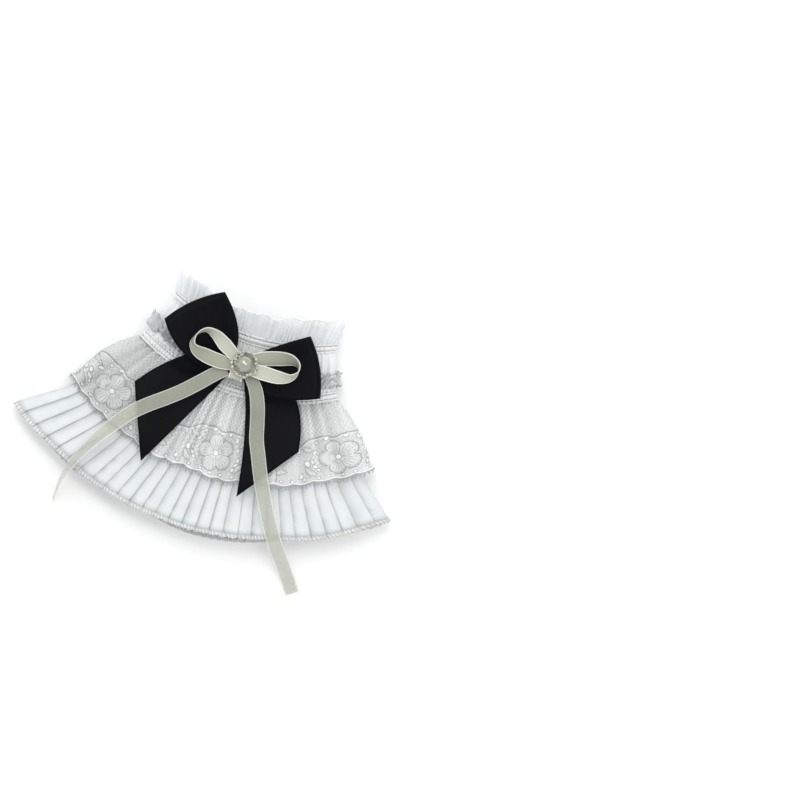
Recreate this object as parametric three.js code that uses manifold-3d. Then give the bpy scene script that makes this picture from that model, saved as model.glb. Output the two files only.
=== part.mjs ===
// A gathered chiffon wrist cuff with a lace flounce, a pleated skirt and two tied bows, lying flat.
// Millimetres. X runs across the cuff, Y from the hem towards the wrist, Z up from the surface.
// The cuff is a flattened tube: each station below is one closed ring of cloth round the wrist.
import * as THREE from "three";
import { mergeVertices } from "three/addons/utils/BufferGeometryUtils.js";
import Module from "manifold-3d";

// Lengths down the cuff, from the wrist edge to the hem
const headingRise = 10.7;
const casingSpacing = 23;
const laceDrop = 40;
const skirtDrop = 64.5;

// Half widths of the flattened tube at its stations
const wristEdgeHalf = 39;
const upperCasingHalf = 36;
const lowerCasingHalf = 43.5;
const laceEdgeHalf = 71;
const hemHalf = 88.5;

// Heights of the flattened tube over the surface
const wristEdgeHeight = 18.4;
const wristHeight = 17;
const laceEdgeHeight = 19;
const hemHeight = 16;

// Cloth walls, gathers and pleats
const gap = 0.3;
const bandWall = 1.2;
const laceWall = 1;
const skirtWall = 1.1;
const casingWidth = 4.4;
const casingWall = 2.2;
const hemWidth = 2;
const hemWall = 1.6;
const trimWidth = 6.5;
const trimWall = 1.1;
const frillRuffle = 1.7;
const bandGather = 0.4;
const trimRuffle = 0.9;
const laceRuffle = 0.9;
const waistPleatDepth = 0.7;
const hemPleatDepth = 1.9;
const laceScallop = 1.4;
const trimPlace = 0.66;
const knotPlace = 0.535;
const laceClearance = 1.2;
const laceTuck = 4;
const seamGap = 0.5;
const pressedShare = 0.35;

// Numbers of folds round the whole ring
const frillRuffles = 30;
const bandGathers = 40;
const trimRuffles = 34;
const laceRuffles = 18;
const laceScallops = 30;
const laceEyelets = 30;
const skirtPleats = 48;
const pleatRidge = 0.74;

// Black bow of wide ribbon
const ribbonWall = 1;
const loopReach = 38;
const tailReach = 60;
const loopPuff = 5;
const waistGap = 1.9;
const bowShift = -1.5;
const bowLift = 0.4;

// Cream bow of narrow ribbon, tied round the waist of the black one
const creamWidth = 6.4;
const creamWall = 1;
const creamReach = 26;
const tieWidth = 6.4;
const tieHalfSpan = 5.6;
const tieWall = 1;
const knotHeight = 2.6;
const knotHalf = 3;

// Pearl charm on the knot
const pearlRadius = 3.6;
const charmRadius = 6.2;
const charmShiftX = 2.2;
const charmShiftY = 1.4;
const charmWall = 1.3;
const beadRingRadius = 5.2;
const beadRadius = 0.85;
const beadCount = 18;

const wasm = await Module();
wasm.setup();

const upperDown = headingRise;
const lowerDown = upperDown + casingSpacing;
const laceDown = lowerDown + laceDrop;
const hemDown = lowerDown + skirtDrop;
const casingHalf = casingWidth / 2;

// One row for each station: how far it lies below the wrist edge, its half width and height,
// its sag as a share of the half width, and how far its middle drifts as a share of the hem's half width.
const stations = [
  { down: 0, half: wristEdgeHalf, height: wristEdgeHeight, sag: 0.217, drift: 0 },
  { down: upperDown, half: upperCasingHalf, height: wristHeight, sag: 0.22, drift: 0 },
  { down: lowerDown, half: lowerCasingHalf, height: wristHeight, sag: 0.25, drift: -0.01 },
  { down: laceDown, half: laceEdgeHalf, height: laceEdgeHeight, sag: 0.363, drift: -0.03 },
  { down: hemDown, half: hemHalf, height: hemHeight, sag: 0.347, drift: -0.056 },
];

const mix = (a, b, t) => a + (b - a) * t;
const smooth = (t) => t * t * (3 - 2 * t);

// The ring's sizes at any distance below the wrist edge
function stationAt(down) {
  let k = 0;
  while (k < stations.length - 2 && down > stations[k + 1].down) k += 1;
  const [a, b] = [stations[k], stations[k + 1]];
  const t = (down - a.down) / (b.down - a.down);
  const at = { down };
  for (const key of ["half", "height", "sag", "drift"]) at[key] = mix(a[key], b[key], t);
  return at;
}

// How far a station's line climbs towards the wrist at x from its middle
function climb(station, x) {
  const sag = station.sag * station.half;
  const radius = (station.half ** 2 + sag ** 2) / (2 * sag);
  const inside = Math.min(Math.abs(x), 0.98 * radius);
  return radius - Math.sqrt(radius ** 2 - inside ** 2);
}

const foldHeightShare = 0.36;
const archPower = 0.8;
const underfoldShare = 0.22;

// The height of the upper and the lower layer at x, for a ring drawn in by an inset above and below
function layerHeights(station, x, above, below) {
  const across = Math.min(1, Math.abs(x) / station.half);
  const low = below;
  const high = station.height - above;
  const side = mix(low, high, foldHeightShare);
  const arch = Math.sqrt(1 - across ** 2) ** archPower;
  const under = Math.max(0, (across - 1 + underfoldShare) / underfoldShare);
  return { upper: side + (high - side) * arch, lower: side - (side - low) * Math.sqrt(1 - under ** 2) };
}

const outlineSamples = 120;

// A closed outline of the ring, sampled so that equal shares are equal lengths of cloth
function outline(station, above, below) {
  const half = station.half - above;
  const inner = { ...station, half };
  const points = [];
  for (let k = 0; k < outlineSamples; k += 1) {
    const x = -half * Math.cos((Math.PI * k) / outlineSamples);
    points.push(new THREE.Vector2(x, layerHeights(inner, x, above, below).upper));
  }
  for (let k = 0; k < outlineSamples; k += 1) {
    const x = half * Math.cos((Math.PI * k) / outlineSamples);
    points.push(new THREE.Vector2(x, layerHeights(inner, x, above, below).lower));
  }
  const lengths = [0];
  points.forEach((p, k) => {
    lengths.push(lengths[k] + p.distanceTo(points[(k + 1) % points.length]));
  });
  return { points, lengths };
}

function outlineAt({ points, lengths }, share) {
  const target = (((share % 1) + 1) % 1) * lengths.at(-1);
  let k = 0;
  while (lengths[k + 1] < target) k += 1;
  const [a, b] = [points[k], points[(k + 1) % points.length]];
  const t = (target - lengths[k]) / Math.max(1e-9, lengths[k + 1] - lengths[k]);
  return a.clone().lerp(b, t);
}

// Points and outward normals of one ring of a wall. Its swell is the fold's height at each share.
function ring({ down, above, below, swell, edge, pressed = pressedShare }, shares) {
  const station = stationAt(down);
  const line = outline(station, above, below);
  const nearby = 0.004;
  return shares.map((share) => {
    const at = outlineAt(line, share);
    const ahead = outlineAt(line, share + nearby);
    const behind = outlineAt(line, share - nearby);
    const normal = new THREE.Vector2(behind.y - ahead.y, ahead.x - behind.x).normalize();
    const fold = swell(share) * mix(1, pressed, underneath(at, station));
    const further = edge ? edge(share) : 0;
    const x = at.x + normal.x * fold;
    return {
      point: new THREE.Vector3(
        x + station.drift * hemHalf,
        climb(station, x) - down - further,
        at.y + normal.y * fold,
      ),
      normal: new THREE.Vector3(normal.x, 0, normal.y),
    };
  });
}

// 0 on the upper layer, 1 on the layer that is pressed on the surface
function underneath(at, station) {
  const middle = station.height * foldHeightShare;
  return THREE.MathUtils.clamp((middle - at.y) / middle + 0.5, 0, 1);
}

function geometryOf(positions, faces) {
  const geometry = new THREE.BufferGeometry();
  geometry.setAttribute("position", new THREE.Float32BufferAttribute(positions, 3));
  geometry.setIndex(faces);
  return geometry;
}

// A closed wall between two faces of a grid. Columns may run round, and cells may be left open.
function wallOf(grid, { round, isOpen = () => false }) {
  const rows = grid.length;
  const columns = grid[0].length;
  const positions = [];
  grid.forEach((row) => row.forEach(({ outer, inner }) => positions.push(...outer, ...inner)));
  const at = (j, i, face) => 2 * (j * columns + (round ? (i + columns) % columns : i)) + face;
  const cellsAcross = round ? columns : columns - 1;
  const filled = (j, i) => {
    if (j < 0 || j >= rows - 1) return false;
    if (!round && (i < 0 || i >= cellsAcross)) return false;
    return !isOpen(j, (i + cellsAcross) % cellsAcross);
  };
  const faces = [];
  const quad = (a, b, c, d) => faces.push(a, b, c, a, c, d);
  for (let j = 0; j < rows - 1; j += 1) {
    for (let i = 0; i < cellsAcross; i += 1) {
      if (!filled(j, i)) continue;
      quad(at(j, i, 0), at(j, i + 1, 0), at(j + 1, i + 1, 0), at(j + 1, i, 0));
      quad(at(j, i, 1), at(j + 1, i, 1), at(j + 1, i + 1, 1), at(j, i + 1, 1));
      if (!filled(j - 1, i)) quad(at(j, i, 1), at(j, i + 1, 1), at(j, i + 1, 0), at(j, i, 0));
      if (!filled(j + 1, i)) {
        quad(at(j + 1, i, 0), at(j + 1, i + 1, 0), at(j + 1, i + 1, 1), at(j + 1, i, 1));
      }
      if (!filled(j, i - 1)) quad(at(j, i, 0), at(j + 1, i, 0), at(j + 1, i, 1), at(j, i, 1));
      if (!filled(j, i + 1)) {
        quad(at(j, i + 1, 1), at(j + 1, i + 1, 1), at(j + 1, i + 1, 0), at(j, i + 1, 0));
      }
    }
  }
  return geometryOf(positions, faces);
}

// A tube of cloth through rows of rings
function clothTube(rows, shares, wall, isOpen) {
  const grid = rows.map((row) => {
    const half = (row.wall ?? wall) / 2;
    return ring(row, shares).map(({ point, normal }) => ({
      outer: point.clone().addScaledVector(normal, half),
      inner: point.clone().addScaledVector(normal, -half),
    }));
  });
  return wallOf(grid, { round: true, isOpen });
}

const evenShares = (count) => Array.from({ length: count }, (_, k) => k / count);
const wave = (share, count) => Math.cos(2 * Math.PI * count * share);

// The insets that keep a folded wall inside its station's outline
function insets(fold, wall, aboveCover = 0, belowCover = 0) {
  return {
    above: aboveCover + fold + wall / 2,
    below: belowCover + fold * pressedShare + wall / 2,
  };
}

// How far the ruched trim stands out past the rest of the band, above and below
const trimStand = {
  above: trimWall + 2 * trimRuffle + gap,
  below: trimWall + 2 * trimRuffle * pressedShare + gap,
};

function wristFrill() {
  const end = upperDown - casingHalf - seamGap;
  const rows = [
    { share: 0, fold: 1 },
    { share: 0.5, fold: 0.6 },
    { share: 1, fold: 0.2 },
  ].map(({ share, fold }) => {
    const height = frillRuffle * fold;
    return {
      down: end * share,
      ...insets(height, bandWall, gap, trimStand.below * share),
      swell: (at) => height * wave(at, frillRuffles),
    };
  });
  return clothTube(rows, evenShares(2 * frillRuffles), bandWall);
}

function casing(down) {
  const rows = [
    { share: -1, wall: bandWall },
    { share: 0, wall: casingWall },
    { share: 1, wall: bandWall },
  ].map(({ share, wall }) => ({
    down: down + casingHalf * share,
    ...insets(0, casingWall, gap, trimStand.below),
    swell: () => 0,
    wall,
  }));
  return clothTube(rows, evenShares(bandGathers), casingWall);
}

function gatheredBand() {
  const from = upperDown + casingHalf + seamGap;
  const to = lowerDown - casingHalf - seamGap;
  const rows = [0, 1].map((share) => ({
    down: mix(from, to, share),
    ...insets(bandGather, bandWall, 2 * gap, trimStand.below),
    swell: (at) => bandGather * wave(at, bandGathers),
  }));
  return clothTube(rows, evenShares(2 * bandGathers), bandWall);
}

function ruchedTrim() {
  const middle = mix(upperDown, lowerDown, trimPlace);
  const rows = [
    { share: -1, fold: 1 },
    { share: 0, fold: 0.35 },
    { share: 1, fold: 1 },
  ].map(({ share, fold }) => ({
    down: middle + (trimWidth / 2) * share,
    above: trimWall / 2 + trimRuffle - trimStand.above,
    below: trimWall / 2 + trimRuffle * pressedShare,
    swell: (at) => trimRuffle * fold * wave(at, trimRuffles) * (share < 0 ? 1 : -1),
  }));
  return clothTube(rows, evenShares(2 * trimRuffles), trimWall);
}

const laceTop = lowerDown + casingHalf + seamGap;

function laceFold(down) {
  return laceRuffle * smooth(THREE.MathUtils.clamp((down - laceTop) / (laceDown - laceTop), 0, 1));
}

// The lace ruffles on its upper side, and its underside lies flat on the surface
function laceFlounce() {
  const length = laceDown - laceTop;
  const eyeletRows = [0, 2, 4];
  const pitch = 3;
  const rows = [0, 0.16, 0.32, 0.48, 0.64, 0.82, 1].map((share) => {
    const down = laceTop + length * share;
    const fold = laceFold(down);
    return {
      down,
      above: fold + laceWall / 2,
      below: laceWall / 2,
      pressed: 0,
      swell: (at) => fold * wave(at, laceRuffles),
      edge: (at) => (share === 1 ? laceScallop * (Math.abs(wave(at, laceScallops / 2)) - 1) : 0),
    };
  });
  const isOpen = (j, i) => eyeletRows.includes(j) && (i + j) % pitch === 0;
  return clothTube(rows, evenShares(pitch * laceEyelets), laceWall, isOpen);
}

// A knife pleat: a long rise to its ridge, then a short fall
function pleatHeight(share) {
  const at = (share * skirtPleats) % 1;
  return at < pleatRidge ? at / pleatRidge : (1 - at) / (1 - pleatRidge);
}

function pleatShares() {
  return Array.from({ length: 2 * skirtPleats }, (_, k) => {
    return (Math.floor(k / 2) + (k % 2) * pleatRidge) / skirtPleats;
  });
}

const skirtEnd = hemDown - hemWidth;

function pleatDepth(down) {
  return mix(waistPleatDepth, hemPleatDepth, (down - laceTop) / (hemDown - laceTop));
}

// The skirt lies inside the lace, and comes out to the full ring below the lace's edge
function skirtRow(down, wall) {
  const depth = pleatDepth(down);
  const clear = THREE.MathUtils.clamp((hemDown - down) / (hemDown - laceDown - laceTuck), 0, 1);
  const above = (laceWall + 2 * laceFold(down) + laceClearance) * clear;
  const below = (laceWall + seamGap) * clear;
  return {
    down,
    above: above + depth + wall / 2,
    below: below + depth * pressedShare + wall / 2,
    swell: (at) => depth * pleatHeight(at),
    wall,
  };
}

function pleatedSkirt() {
  const rows = [0, 0.2, 0.4, 0.61, 1].map((share) => {
    return skirtRow(mix(laceTop, skirtEnd, share), skirtWall);
  });
  return clothTube(rows, pleatShares(), skirtWall);
}

function hemEdge() {
  const rows = [skirtEnd + seamGap, hemDown].map((down) => skirtRow(down, hemWall));
  return clothTube(rows, pleatShares(), hemWall);
}

// The height of the cuff's upper surface at a place in plan, to lay the ribbons on
function coverHeight(x, y) {
  const passes = 8;
  const trimReach = 1.6;
  let down = -y;
  for (let pass = 0; pass < passes; pass += 1) {
    const station = stationAt(Math.max(0, Math.min(hemDown, down)));
    down = climb(station, x - station.drift * hemHalf) - y;
  }
  const station = stationAt(Math.max(0, Math.min(hemDown, down)));
  const fromTrim = Math.abs(down - mix(upperDown, lowerDown, trimPlace)) / trimWidth;
  const onTrim = smooth(THREE.MathUtils.clamp(trimReach - fromTrim, 0, 1));
  return layerHeights(station, x - station.drift * hemHalf, 0, 0).upper + trimStand.above * onTrim;
}

const knot = new THREE.Vector2(bowShift, -mix(upperDown, lowerDown, knotPlace));
const trimTop = wristHeight - gap + trimStand.above;
const tieBase = trimTop + gap;
const tailLevel = tieBase + tieWall + gap + ribbonWall / 2;
const loopLevel = tailLevel + ribbonWall + gap;
const loopTopLevel = loopLevel + waistGap;
const tieTop = loopTopLevel + ribbonWall / 2 + gap + tieWall;
const knotTop = tieTop + knotHeight;

// A closed wall round an open sheet of points, with as much cloth on either side of them
function sheetWall(points, wall) {
  const rows = points.length;
  const columns = points[0].length;
  const grid = points.map((row, j) => row.map((point, i) => {
    const along = points[Math.min(rows - 1, j + 1)][i].clone().sub(points[Math.max(0, j - 1)][i]);
    const across = row[Math.min(columns - 1, i + 1)].clone().sub(row[Math.max(0, i - 1)]);
    const normal = along.cross(across).normalize();
    return {
      outer: point.clone().addScaledVector(normal, wall / 2),
      inner: point.clone().addScaledVector(normal, -wall / 2),
    };
  }));
  return wallOf(grid, { round: false });
}

// The edges of the bow's leaves in plan, from the tie out, as shares of the reach: the control point
// that bends the edge, and the end. Each pair runs from the hem's side to the wrist's side of the waist.
const leaves = {
  leftLoop: [
    { bendX: -0.7, bendY: -0.2, endX: -0.98, endY: 0.26 },
    { bendX: -0.14, bendY: 0.42, endX: -0.41, endY: 0.76 },
  ],
  rightLoop: [
    { bendX: 0.5, bendY: -0.33, endX: 1.0, endY: -0.08 },
    { bendX: 0.3, bendY: 0.34, endX: 0.68, endY: 0.57 },
  ],
  leftTail: [
    { bendX: -0.22, bendY: -0.4, endX: -0.48, endY: -0.88 },
    { bendX: -0.42, bendY: 0.05, endX: -0.7, endY: -0.34 },
  ],
  rightTail: [
    { bendX: 0.2, bendY: -0.4, endX: 0.265, endY: -0.92 },
    { bendX: 0.55, bendY: 0.02, endX: 0.6, endY: -0.47 },
  ],
};

// A place on one edge: t from the tie, 0, to the end, 1, and inside the tie down to -1 at its middle
function edgeAt(row, reach, waistY, t) {
  const side = Math.sign(row.endX);
  const start = new THREE.Vector2(side * (tieWidth / 2 + gap), waistY);
  if (t < 0) return new THREE.Vector2(mix(start.x, side * gap, -t), waistY);
  return new THREE.QuadraticBezierCurve(
    start,
    new THREE.Vector2(row.bendX, row.bendY).multiplyScalar(reach),
    new THREE.Vector2(row.endX, row.endY).multiplyScalar(reach),
  ).getPoint(t);
}

// A place on a leaf: t along it, and c from one edge to the other
function leafAt(leaf, reach, t, c) {
  const waistHalf = tieHalfSpan - 2 * gap;
  return edgeAt(leaf[0], reach, -waistHalf, t).lerp(edgeAt(leaf[1], reach, waistHalf, t), c).add(knot);
}

const leafCells = 5;
const acrossShares = Array.from({ length: leafCells + 1 }, (_, k) => k / leafCells);

// A loop lies out from the waist, folds over and comes back above itself.
// Its rows give the share of the way out and the share of the height between its layers.
function bowLoop(leaf) {
  const rows = [
    { out: -1, rise: 0 },
    { out: 0, rise: 0 },
    { out: 0.25, rise: 0 },
    { out: 0.55, rise: 0 },
    { out: 0.86, rise: 0 },
    { out: 0.965, rise: 0.12 },
    { out: 1, rise: 0.5 },
    { out: 0.965, rise: 0.88 },
    { out: 0.86, rise: 1 },
    { out: 0.55, rise: 1 },
    { out: 0.25, rise: 1 },
    { out: 0, rise: 1 },
    { out: -1, rise: 1 },
  ];
  const points = rows.map(({ out, rise }) => acrossShares.map((c) => {
    const at = leafAt(leaf, loopReach, out, c);
    const between = mix(waistGap, loopPuff, Math.max(0, out));
    return new THREE.Vector3(at.x, at.y, loopLevel + between * rise);
  }));
  return sheetWall(points, ribbonWall);
}

// A tail lies down over the band and the lace, and its end is cut on the slant
function bowTail(leaf) {
  const heldShare = 0.24;
  const points = [-1, 0, 0.12, 0.24, 0.38, 0.52, 0.68, 0.84, 1].map((t) => acrossShares.map((c) => {
    const at = leafAt(leaf, tailReach, t, c);
    const laid = coverHeight(at.x, at.y) + bowLift + ribbonWall / 2;
    const held = mix(tailLevel, laid, smooth(THREE.MathUtils.clamp(t / heldShare, 0, 1)));
    return new THREE.Vector3(at.x, at.y, held);
  }));
  return sheetWall(points, ribbonWall);
}

// A narrow ribbon through a table of places. Its tilt turns its width from lying across to upright.
function ribbon(rows, width, wall, steps, origin) {
  const path = new THREE.CatmullRomCurve3(
    rows.map(({ x, y, z }) => new THREE.Vector3(x, y, z).add(origin)),
    false,
    "centripetal",
  );
  const columnAt = (column, t) => {
    const k = Math.min(rows.length - 2, Math.floor(t * (rows.length - 1)));
    return mix(rows[k][column], rows[k + 1][column], t * (rows.length - 1) - k);
  };
  const tiltAt = (t) => THREE.MathUtils.degToRad(columnAt("tilt", t));
  const taperAt = (t) => columnAt("taper", t);
  const up = new THREE.Vector3(0, 0, 1);
  const points = Array.from({ length: steps + 1 }, (_, k) => {
    const t = k / steps;
    const along = path.getTangent(t);
    const level = along.clone().cross(up).normalize();
    const upright = level.clone().cross(along).normalize();
    const across = level.multiplyScalar(Math.cos(tiltAt(t))).addScaledVector(upright, Math.sin(tiltAt(t)));
    const half = (width * taperAt(t)) / 2;
    return [-1, 0, 1].map((side) => path.getPoint(t).addScaledVector(across, side * half));
  });
  return sheetWall(points, wall);
}

// The narrow bow's loops: places as shares of its reach, heights over the knot's foot too
const creamLoops = {
  left: [
    { x: -0.17, y: -0.05, z: 0, tilt: 0, taper: 0.45 },
    { x: -0.38, y: -0.07, z: 0.01, tilt: 4, taper: 0.9 },
    { x: -0.62, y: -0.04, z: 0.04, tilt: 12, taper: 1 },
    { x: -0.82, y: 0.05, z: 0.12, tilt: 45, taper: 1 },
    { x: -0.895, y: 0.19, z: 0.17, tilt: 74, taper: 1 },
    { x: -0.86, y: 0.35, z: 0.18, tilt: 88, taper: 1 },
    { x: -0.73, y: 0.46, z: 0.2, tilt: 106, taper: 1 },
    { x: -0.56, y: 0.43, z: 0.2, tilt: 140, taper: 1 },
    { x: -0.37, y: 0.3, z: 0.14, tilt: 166, taper: 0.85 },
    { x: -0.18, y: 0.13, z: 0, tilt: 180, taper: 0.42 },
  ],
  right: [
    { x: 0.18, y: 0.15, z: 0, tilt: 0, taper: 0.42 },
    { x: 0.38, y: 0.25, z: -0.03, tilt: 0, taper: 0.85 },
    { x: 0.62, y: 0.33, z: 0.02, tilt: -12, taper: 1 },
    { x: 0.83, y: 0.37, z: 0.12, tilt: -48, taper: 1 },
    { x: 0.96, y: 0.31, z: 0.16, tilt: -76, taper: 1 },
    { x: 0.99, y: 0.19, z: 0.18, tilt: -92, taper: 1 },
    { x: 0.9, y: 0.07, z: 0.19, tilt: -116, taper: 1 },
    { x: 0.7, y: 0.02, z: 0.17, tilt: -150, taper: 1 },
    { x: 0.45, y: 0.01, z: 0.06, tilt: -176, taper: 0.85 },
    { x: 0.18, y: 0.0, z: 0, tilt: -180, taper: 0.42 },
  ],
};

function creamLoop(rows) {
  const scaled = rows.map(({ x, y, z, tilt, taper }) => {
    return { x: creamReach * x, y: creamReach * y, z: creamReach * z, tilt, taper };
  });
  return ribbon(scaled, creamWidth, creamWall, 18, new THREE.Vector3(knot.x, knot.y, creamLevel));
}

const creamLevel = tieTop + knotHeight - creamWall / 2 - gap;

// The narrow tails' routes: places from the knot, and heights over the surface, chosen by hand
const creamRoutes = {
  left: [
    { x: -4.8, y: -3.2, z: 27.3, tilt: 0, taper: 0.5 },
    { x: -9.2, y: -6.8, z: 27.4, tilt: 0, taper: 0.9 },
    { x: -14.5, y: -12.2, z: 25.6, tilt: 0, taper: 1 },
    { x: -20.5, y: -18, z: 22.8, tilt: 0, taper: 1 },
    { x: -26.5, y: -23, z: 21, tilt: 0, taper: 1 },
    { x: -32.5, y: -27.6, z: 19.6, tilt: 0, taper: 1 },
    { x: -38.5, y: -33, z: 18.5, tilt: -6, taper: 1 },
    { x: -43.5, y: -39, z: 19, tilt: -16, taper: 1 },
    { x: -48, y: -45.5, z: 19.1, tilt: -30, taper: 1 },
    { x: -52, y: -52, z: 18.9, tilt: -44, taper: 1 },
    { x: -55.4, y: -58.5, z: 18.6, tilt: -56, taper: 1 },
    { x: -58.2, y: -65, z: 17.4, tilt: -64, taper: 1 },
    { x: -60.2, y: -70.6, z: 11.4, tilt: -70, taper: 1 },
    { x: -61, y: -75.4, z: 6, tilt: -76, taper: 1 },
    { x: -61.2, y: -80.6, z: 3.9, tilt: -78, taper: 1 },
  ],
  right: [
    { x: 5.2, y: -3.6, z: 27.3, tilt: 0, taper: 0.5 },
    { x: 8.4, y: -8.4, z: 27.6, tilt: 0, taper: 0.9 },
    { x: 11.4, y: -14.6, z: 26, tilt: 0, taper: 1 },
    { x: 14, y: -21.4, z: 22.2, tilt: 0, taper: 1 },
    { x: 16.8, y: -28.4, z: 20.6, tilt: 0, taper: 1 },
    { x: 19.8, y: -35.4, z: 20.6, tilt: 0, taper: 1 },
    { x: 22.9, y: -42.4, z: 20.8, tilt: 0, taper: 1 },
    { x: 26.3, y: -49.4, z: 20.2, tilt: 0, taper: 1 },
    { x: 30, y: -56.4, z: 18.9, tilt: 0, taper: 1 },
    { x: 34, y: -63.4, z: 17.5, tilt: 0, taper: 1 },
    { x: 38, y: -69.6, z: 16.4, tilt: 0, taper: 1 },
    { x: 41.6, y: -74.6, z: 11.6, tilt: 0, taper: 1 },
    { x: 45, y: -79.2, z: 5.2, tilt: 0, taper: 1 },
    { x: 48.4, y: -84, z: 1.6, tilt: 0, taper: 1 },
    { x: 51.8, y: -88.8, z: 0.8, tilt: 0, taper: 1 },
  ],
};

function creamTail(rows) {
  return ribbon(rows, creamWidth, creamWall, 20, new THREE.Vector3(knot.x, knot.y, 0));
}

// The solid of a closed geometry, and back again
function solidOf(geometry) {
  const bare = geometry.clone();
  bare.deleteAttribute("normal");
  bare.deleteAttribute("uv");
  const merged = mergeVertices(bare, 1e-4);
  return new wasm.Manifold(new wasm.Mesh({
    numProp: 3,
    vertProperties: merged.attributes.position.array,
    triVerts: new Uint32Array(merged.index.array),
  }));
}

function geometryOfSolid(solid) {
  const mesh = solid.getMesh();
  return geometryOf(Array.from(mesh.vertProperties), Array.from(mesh.triVerts));
}

// The tie goes round the bow's waist as a flat ring, with the knot's lump on its top
function creamKnot() {
  const band = new THREE.Shape();
  const low = tieBase;
  band.moveTo(-tieHalfSpan - tieWall, low);
  band.lineTo(tieHalfSpan + tieWall, low);
  band.lineTo(tieHalfSpan + tieWall, tieTop - tieWall);
  band.lineTo(tieHalfSpan, tieTop);
  band.lineTo(-tieHalfSpan, tieTop);
  band.lineTo(-tieHalfSpan - tieWall, tieTop - tieWall);
  band.closePath();
  const waist = new THREE.Path();
  waist.moveTo(-tieHalfSpan, low + tieWall);
  waist.lineTo(-tieHalfSpan, tieTop - tieWall);
  waist.lineTo(tieHalfSpan, tieTop - tieWall);
  waist.lineTo(tieHalfSpan, low + tieWall);
  waist.closePath();
  band.holes.push(waist);
  const ringSolid = new THREE.ExtrudeGeometry(band, { depth: tieWidth, bevelEnabled: false });
  ringSolid.translate(0, 0, -tieWidth / 2);
  ringSolid.rotateX(Math.PI / 2).rotateZ(Math.PI / 2);
  ringSolid.translate(knot.x, knot.y, 0);
  const lump = new THREE.SphereGeometry(1, 12, 8);
  lump.scale(knotHalf, knotHalf, 2 * knotHeight);
  lump.translate(knot.x, knot.y, tieTop - knotHeight);
  const cutLow = new THREE.BoxGeometry(4 * knotHalf, 4 * knotHalf, 4 * knotHeight);
  cutLow.translate(knot.x, knot.y, tieTop - tieWall / 2 - 2 * knotHeight);
  const top = solidOf(lump).subtract(solidOf(cutLow));
  return geometryOfSolid(solidOf(ringSolid).add(top));
}

const charmPlace = new THREE.Vector3(knot.x + charmShiftX, knot.y + charmShiftY, knotTop + gap);

// The charm's dish in section: shares of its radius and of its wall
const dish = [
  { out: 0, low: 0, high: 0.5 },
  { out: 0.45, low: 0, high: 0.55 },
  { out: 0.8, low: 0.12, high: 0.62 },
  { out: 1, low: 0.42, high: 0.95 },
];

// The charm's shallow dish, with a scalloped rim
function charmBase() {
  const petals = 8;
  const petalDepth = 0.07;
  const steps = 3 * petals;
  const [centre, ...profile] = dish;
  const positions = [centre.low, centre.high].flatMap((height) => {
    return [charmPlace.x, charmPlace.y, charmPlace.z + charmWall * height];
  });
  for (let k = 0; k < steps; k += 1) {
    const turn = (2 * Math.PI * k) / steps;
    for (const { out, low, high } of profile) {
      const notch = petalDepth * out * (Math.abs(Math.cos((turn * petals) / 2)) - 1);
      const reach = charmRadius * out * (1 + notch);
      for (const height of [low, high]) {
        positions.push(
          charmPlace.x + reach * Math.cos(turn),
          charmPlace.y + reach * Math.sin(turn),
          charmPlace.z + charmWall * height,
        );
      }
    }
  }
  const faces = [];
  const at = (k, ringIndex, face) => 2 + (k % steps) * 6 + ringIndex * 2 + face;
  for (let k = 0; k < steps; k += 1) {
    faces.push(0, at(k + 1, 0, 0), at(k, 0, 0));
    faces.push(1, at(k, 0, 1), at(k + 1, 0, 1));
    for (let r = 0; r < profile.length - 1; r += 1) {
      faces.push(at(k, r, 0), at(k + 1, r, 0), at(k + 1, r + 1, 0));
      faces.push(at(k, r, 0), at(k + 1, r + 1, 0), at(k, r + 1, 0));
      faces.push(at(k, r, 1), at(k + 1, r + 1, 1), at(k + 1, r, 1));
      faces.push(at(k, r, 1), at(k, r + 1, 1), at(k + 1, r + 1, 1));
    }
    const last = profile.length - 1;
    faces.push(at(k, last, 0), at(k + 1, last, 0), at(k + 1, last, 1));
    faces.push(at(k, last, 0), at(k + 1, last, 1), at(k, last, 1));
  }
  return geometryOf(positions, faces);
}

const seatHeight = charmPlace.z + charmWall * dish[2].high + gap;

// The pearl is a ball with a flat foot
function pearl() {
  const foot = 0.55;
  const profile = [new THREE.Vector2(0, -foot * pearlRadius)];
  const steps = 8;
  const start = Math.asin(-foot);
  for (let k = 0; k <= steps; k += 1) {
    const turn = mix(start, Math.PI / 2, k / steps);
    const out = k === steps ? 0 : pearlRadius * Math.cos(turn);
    profile.push(new THREE.Vector2(out, pearlRadius * Math.sin(turn)));
  }
  const geometry = new THREE.LatheGeometry(profile, 16);
  geometry.rotateX(Math.PI / 2);
  geometry.translate(charmPlace.x, charmPlace.y, seatHeight + foot * pearlRadius);
  return geometry;
}

// Seed pearls strung round the rim, as one ring that swells at each pearl
function beadRing() {
  const ringHeight = charmPlace.z + charmWall + gap + beadRadius;
  const steps = 2 * beadCount;
  const sides = 8;
  const neck = 0.62;
  const torus = new THREE.TorusGeometry(beadRingRadius, beadRadius, sides, steps);
  const p = torus.getAttribute("position");
  const place = new THREE.Vector3();
  for (let k = 0; k < p.count; k += 1) {
    place.fromBufferAttribute(p, k);
    const turn = Math.atan2(place.y, place.x);
    const middle = new THREE.Vector3(Math.cos(turn), Math.sin(turn), 0).multiplyScalar(beadRingRadius);
    const swell = mix(neck, 1, Math.abs(Math.cos((turn * beadCount) / 2)));
    place.sub(middle).multiplyScalar(swell).add(middle);
    p.setXYZ(k, place.x, place.y, place.z);
  }
  torus.translate(charmPlace.x, charmPlace.y, ringHeight);
  return geometryOfSolid(solidOf(torus));
}

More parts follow.
